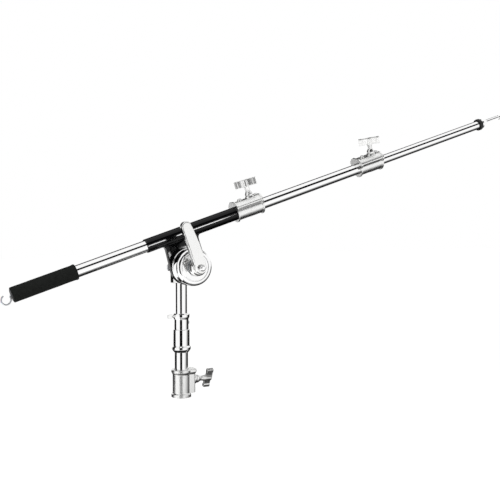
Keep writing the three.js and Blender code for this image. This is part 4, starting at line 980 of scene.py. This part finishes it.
def seen_directly(tree):
    """One for rays from the camera or mirrored by metal, nought for those that light things."""
    path = add(tree, "ShaderNodeLightPath")
    either = add(tree, "ShaderNodeMath", {"operation": "MAXIMUM"},
                 in0=path.outputs["Is Camera Ray"], in1=path.outputs["Is Glossy Ray"])
    any_of_three = add(tree, "ShaderNodeMath", {"operation": "MAXIMUM"},
                       in0=either.outputs["Value"], in1=path.outputs["Is Transmission Ray"])
    return any_of_three.outputs["Value"]


ROOM_LIGHT = 0.55
room = bpy.data.worlds.new("white_room")
room.use_nodes = True
room.node_tree.nodes.clear()
sky_level = add(room.node_tree, "ShaderNodeMapRange", Value=seen_directly(room.node_tree),
                To_Min=ROOM_LIGHT, To_Max=1.0)
sky = add(room.node_tree, "ShaderNodeBackground", Color=linear("#ffffff"),
          Strength=sky_level.outputs["Result"])
add(room.node_tree, "ShaderNodeOutputWorld", Surface=sky.outputs["Background"])
bpy.context.scene.world = room

FLOOR_Z = -1.0
FLOOR_GLOW = 0.52
pale_floor, tree, end = emission_material("pale_floor")
glow_level = add(tree, "ShaderNodeMapRange", Value=seen_directly(tree), To_Min=0.0,
                 To_Max=FLOOR_GLOW)
glow = add(tree, "ShaderNodeEmission", Color=linear("#ffffff"), Strength=glow_level.outputs["Result"])
paint = add(tree, "ShaderNodeBsdfDiffuse", Color=linear("#f2f2f2"))
both = add(tree, "ShaderNodeAddShader", in0=glow.outputs["Emission"], in1=paint.outputs["BSDF"])
tree.links.new(both.outputs["Shader"], end.inputs["Surface"])


def sheet_of(name, corners, material):
    """A flat sheet through four corners in metres."""
    mesh = bpy.data.meshes.new(name)
    mesh.from_pydata([tuple(c) for c in corners], [], [(0, 1, 2, 3)])
    mesh.materials.append(material)
    made = linked(name, mesh)
    return made


WIDE = 30.0
sheet_of("floor", [(-WIDE, -WIDE, FLOOR_Z), (WIDE, -WIDE, FLOOR_Z), (WIDE, WIDE, FLOOR_Z),
                   (-WIDE, WIDE, FLOOR_Z)], pale_floor)

# %% [markdown]
# ## Dark backdrops for the chrome
#
# A mirror in a white room is white all over, and its shape disappears. Photographers set dark
# screens round the set for that reason. A point on a tube that lies at height t above the axis
# of a tube of radius R mirrors a direction turned by 2 asin(t / R) from the camera's, so each
# line along the tube is one screen, and the screen's angle sets where the line falls. At rest
# they stand at least 0.62 metres from the boom's axis and 3 metres from the column's, so that
# every part mirrors the same room. They stay put when the arm moves, and are seen only in
# mirrors.

# %% Backdrops round the boom and the column
screen_tone, tree, end = emission_material("screen_tone")
tone_on_screen = add(tree, "ShaderNodeAttribute", {"attribute_name": "tone"})
shade = add(tree, "ShaderNodeEmission", Color=linear("#ffffff"), Strength=tone_on_screen.outputs["Fac"])
tree.links.new(shade.outputs["Emission"], end.inputs["Surface"])


def screen(name, tones, foot, head):
    """A curved screen between two rows of points, with one tone for each point along it. One is
    white and nought is black."""
    count = len(tones)
    mesh = bpy.data.meshes.new(name)
    faces = [(i, i + 1, count + i + 1, count + i) for i in range(count - 1)]
    mesh.from_pydata(np.concatenate([foot, head]).tolist(), [], faces)
    tone = mesh.attributes.new("tone", "FLOAT", "POINT")
    tone.data.foreach_set("value", np.tile(tones, 2).astype(np.float32))
    mesh.materials.append(screen_tone)
    made = linked(name, mesh)
    made.visible_camera = made.visible_diffuse = made.visible_shadow = False
    made.visible_transmission = False
    return made


def stops(pairs):
    """Angles a degree and a half apart from the first stop to the last, with the tone at
    each read between the stops (angle, tone)."""
    angles, tones = np.array(pairs).T
    angle = np.arange(angles[0], angles[-1] + 0.1, 1.5)
    return np.radians(angle), np.interp(angle, angles, tones)


AXIS = (SLEEVE_ROOT + BOOM_HEIGHT * ABOVE) * MM


def round_boom(name, distance, *pairs, reach=(-0.7, 2.2)):
    """A screen curved round the boom. Angles are up from the viewer's side."""
    angle, tone = stops(pairs)
    ring = AXIS + distance * (np.sin(angle)[:, None] * ABOVE - np.cos(angle)[:, None] * Y)
    return screen(name, tone, ring + reach[0] * ALONG, ring + reach[1] * ALONG)


round_boom("backdrop_over_rear", 0.62, (17, 0.010), (49, 0.010), reach=(-0.7, 0.45))
round_boom("backdrop_over_front", 0.62, (12, 0.005), (51, 0.005), reach=(0.45, 2.2))
round_boom("backdrop_under_boom", 1.0, (-156, 0.02), (-84, 0.02), (-74, 0.12), (-60, 0.48),
           (-42, 1.0), reach=(-0.9, 2.2))
round_boom("backdrop_behind_boom", 0.9, (121, 0.04), (172, 0.04))


COLUMN_AWAY, COLUMN_LOW, COLUMN_HIGH = 3.0, -0.9, 3.5
CAMERA_SIDE = math.atan2(-0.928, -0.372)


def round_column(name, *pairs):
    """A screen curved round the column. Angles run from the camera's side towards plus x."""
    angle, tone = stops(pairs)
    turned = angle + CAMERA_SIDE
    ring = COLUMN_AWAY * np.stack([np.cos(turned), np.sin(turned), 0 * turned], 1)
    return screen(name, tone, ring + COLUMN_LOW * Z, ring + COLUMN_HIGH * Z)


for side, first, last in (("front", -22.5, 15.5), ("rear", -137, -86)):
    round_column(f"backdrop_{side}", (first, 0.005), (last, 0.005))

# %% [markdown]
# ## Lamps
#
# Two soft lamps light what is not metal. A long narrow one draws the bright line along the
# black sleeve. It shines on the sleeve alone, as screens beside it would see to in a studio,
# so the chrome round it isn't washed out.

# %% Lamps
def lamp(name, place_at, aim_at, width, height, watts):
    """A rectangular lamp at a place, turned to face a point."""
    light = bpy.data.lights.new(name, "AREA")
    light.shape, light.size, light.size_y, light.energy = "RECTANGLE", width, height, watts
    made = linked(name, light)
    made.location = place_at
    direction = np.array(aim_at) - np.array(place_at)
    made.rotation_euler = (math.acos(-direction[2] / np.linalg.norm(direction)), 0,
                           math.atan2(direction[1], direction[0]) - math.pi / 2)
    return made


key = lamp("key_lamp", (-1.6, -2.2, 2.4), (0.3, 0, 0.6), 1.6, 1.6, 60)
fill = lamp("fill_lamp", (2.6, -1.8, 1.6), (0.5, 0, 0.6), 1.6, 1.6, 25)
key.visible_glossy = fill.visible_glossy = False

# distance from the boom's axis and middle along it, in metres, and angle up from level
STRIP_AWAY, STRIP_ALONG, STRIP_ANGLE = 1.2, 0.47, math.radians(-5.5)
STRIP_LENGTH, STRIP_WIDTH, STRIP_GLOW = 0.42, 0.27, 54.0
out = math.sin(STRIP_ANGLE) * ABOVE - math.cos(STRIP_ANGLE) * Y
strip_at = AXIS + STRIP_AWAY * out + STRIP_ALONG * ALONG
strip = lamp("strip_lamp", strip_at, AXIS, STRIP_LENGTH, STRIP_WIDTH,
             STRIP_GLOW * math.pi * STRIP_LENGTH * STRIP_WIDTH)
# Blender reads a plain list into matrix_world column by column
strip.matrix_world = place(strip_at, ALONG, np.cross(out, ALONG), out).T.tolist()
strip.visible_camera = strip.visible_diffuse = False
coated = bpy.data.collections.new("lit_by_strip_lamp")
coated.objects.link(bpy.data.objects["sleeve"])
strip.light_linking.receiver_collection = coated

# %% [markdown]
# ## Camera
#
# The camera stands to the left of the clutch, a little above it, and looks slightly down.
# From there the boom's vertical lines stay upright.

# %% Camera
FOCAL_MM, SENSOR_MM = 56.07, 36.0
LOOK_DOWN, LOOK_RIGHT = 2.16, 26.9
lens = bpy.data.cameras.new("camera")
lens.lens, lens.sensor_width = FOCAL_MM, SENSOR_MM
lens.clip_end = 100.0
camera = linked("camera", lens)
camera.location = (-0.8840, -2.2063, 0.5379)
camera.rotation_euler = (math.radians(90 - LOOK_DOWN), 0, math.radians(-LOOK_RIGHT))
bpy.context.scene.camera = camera
bpy.context.scene.view_settings.view_transform = "Standard"
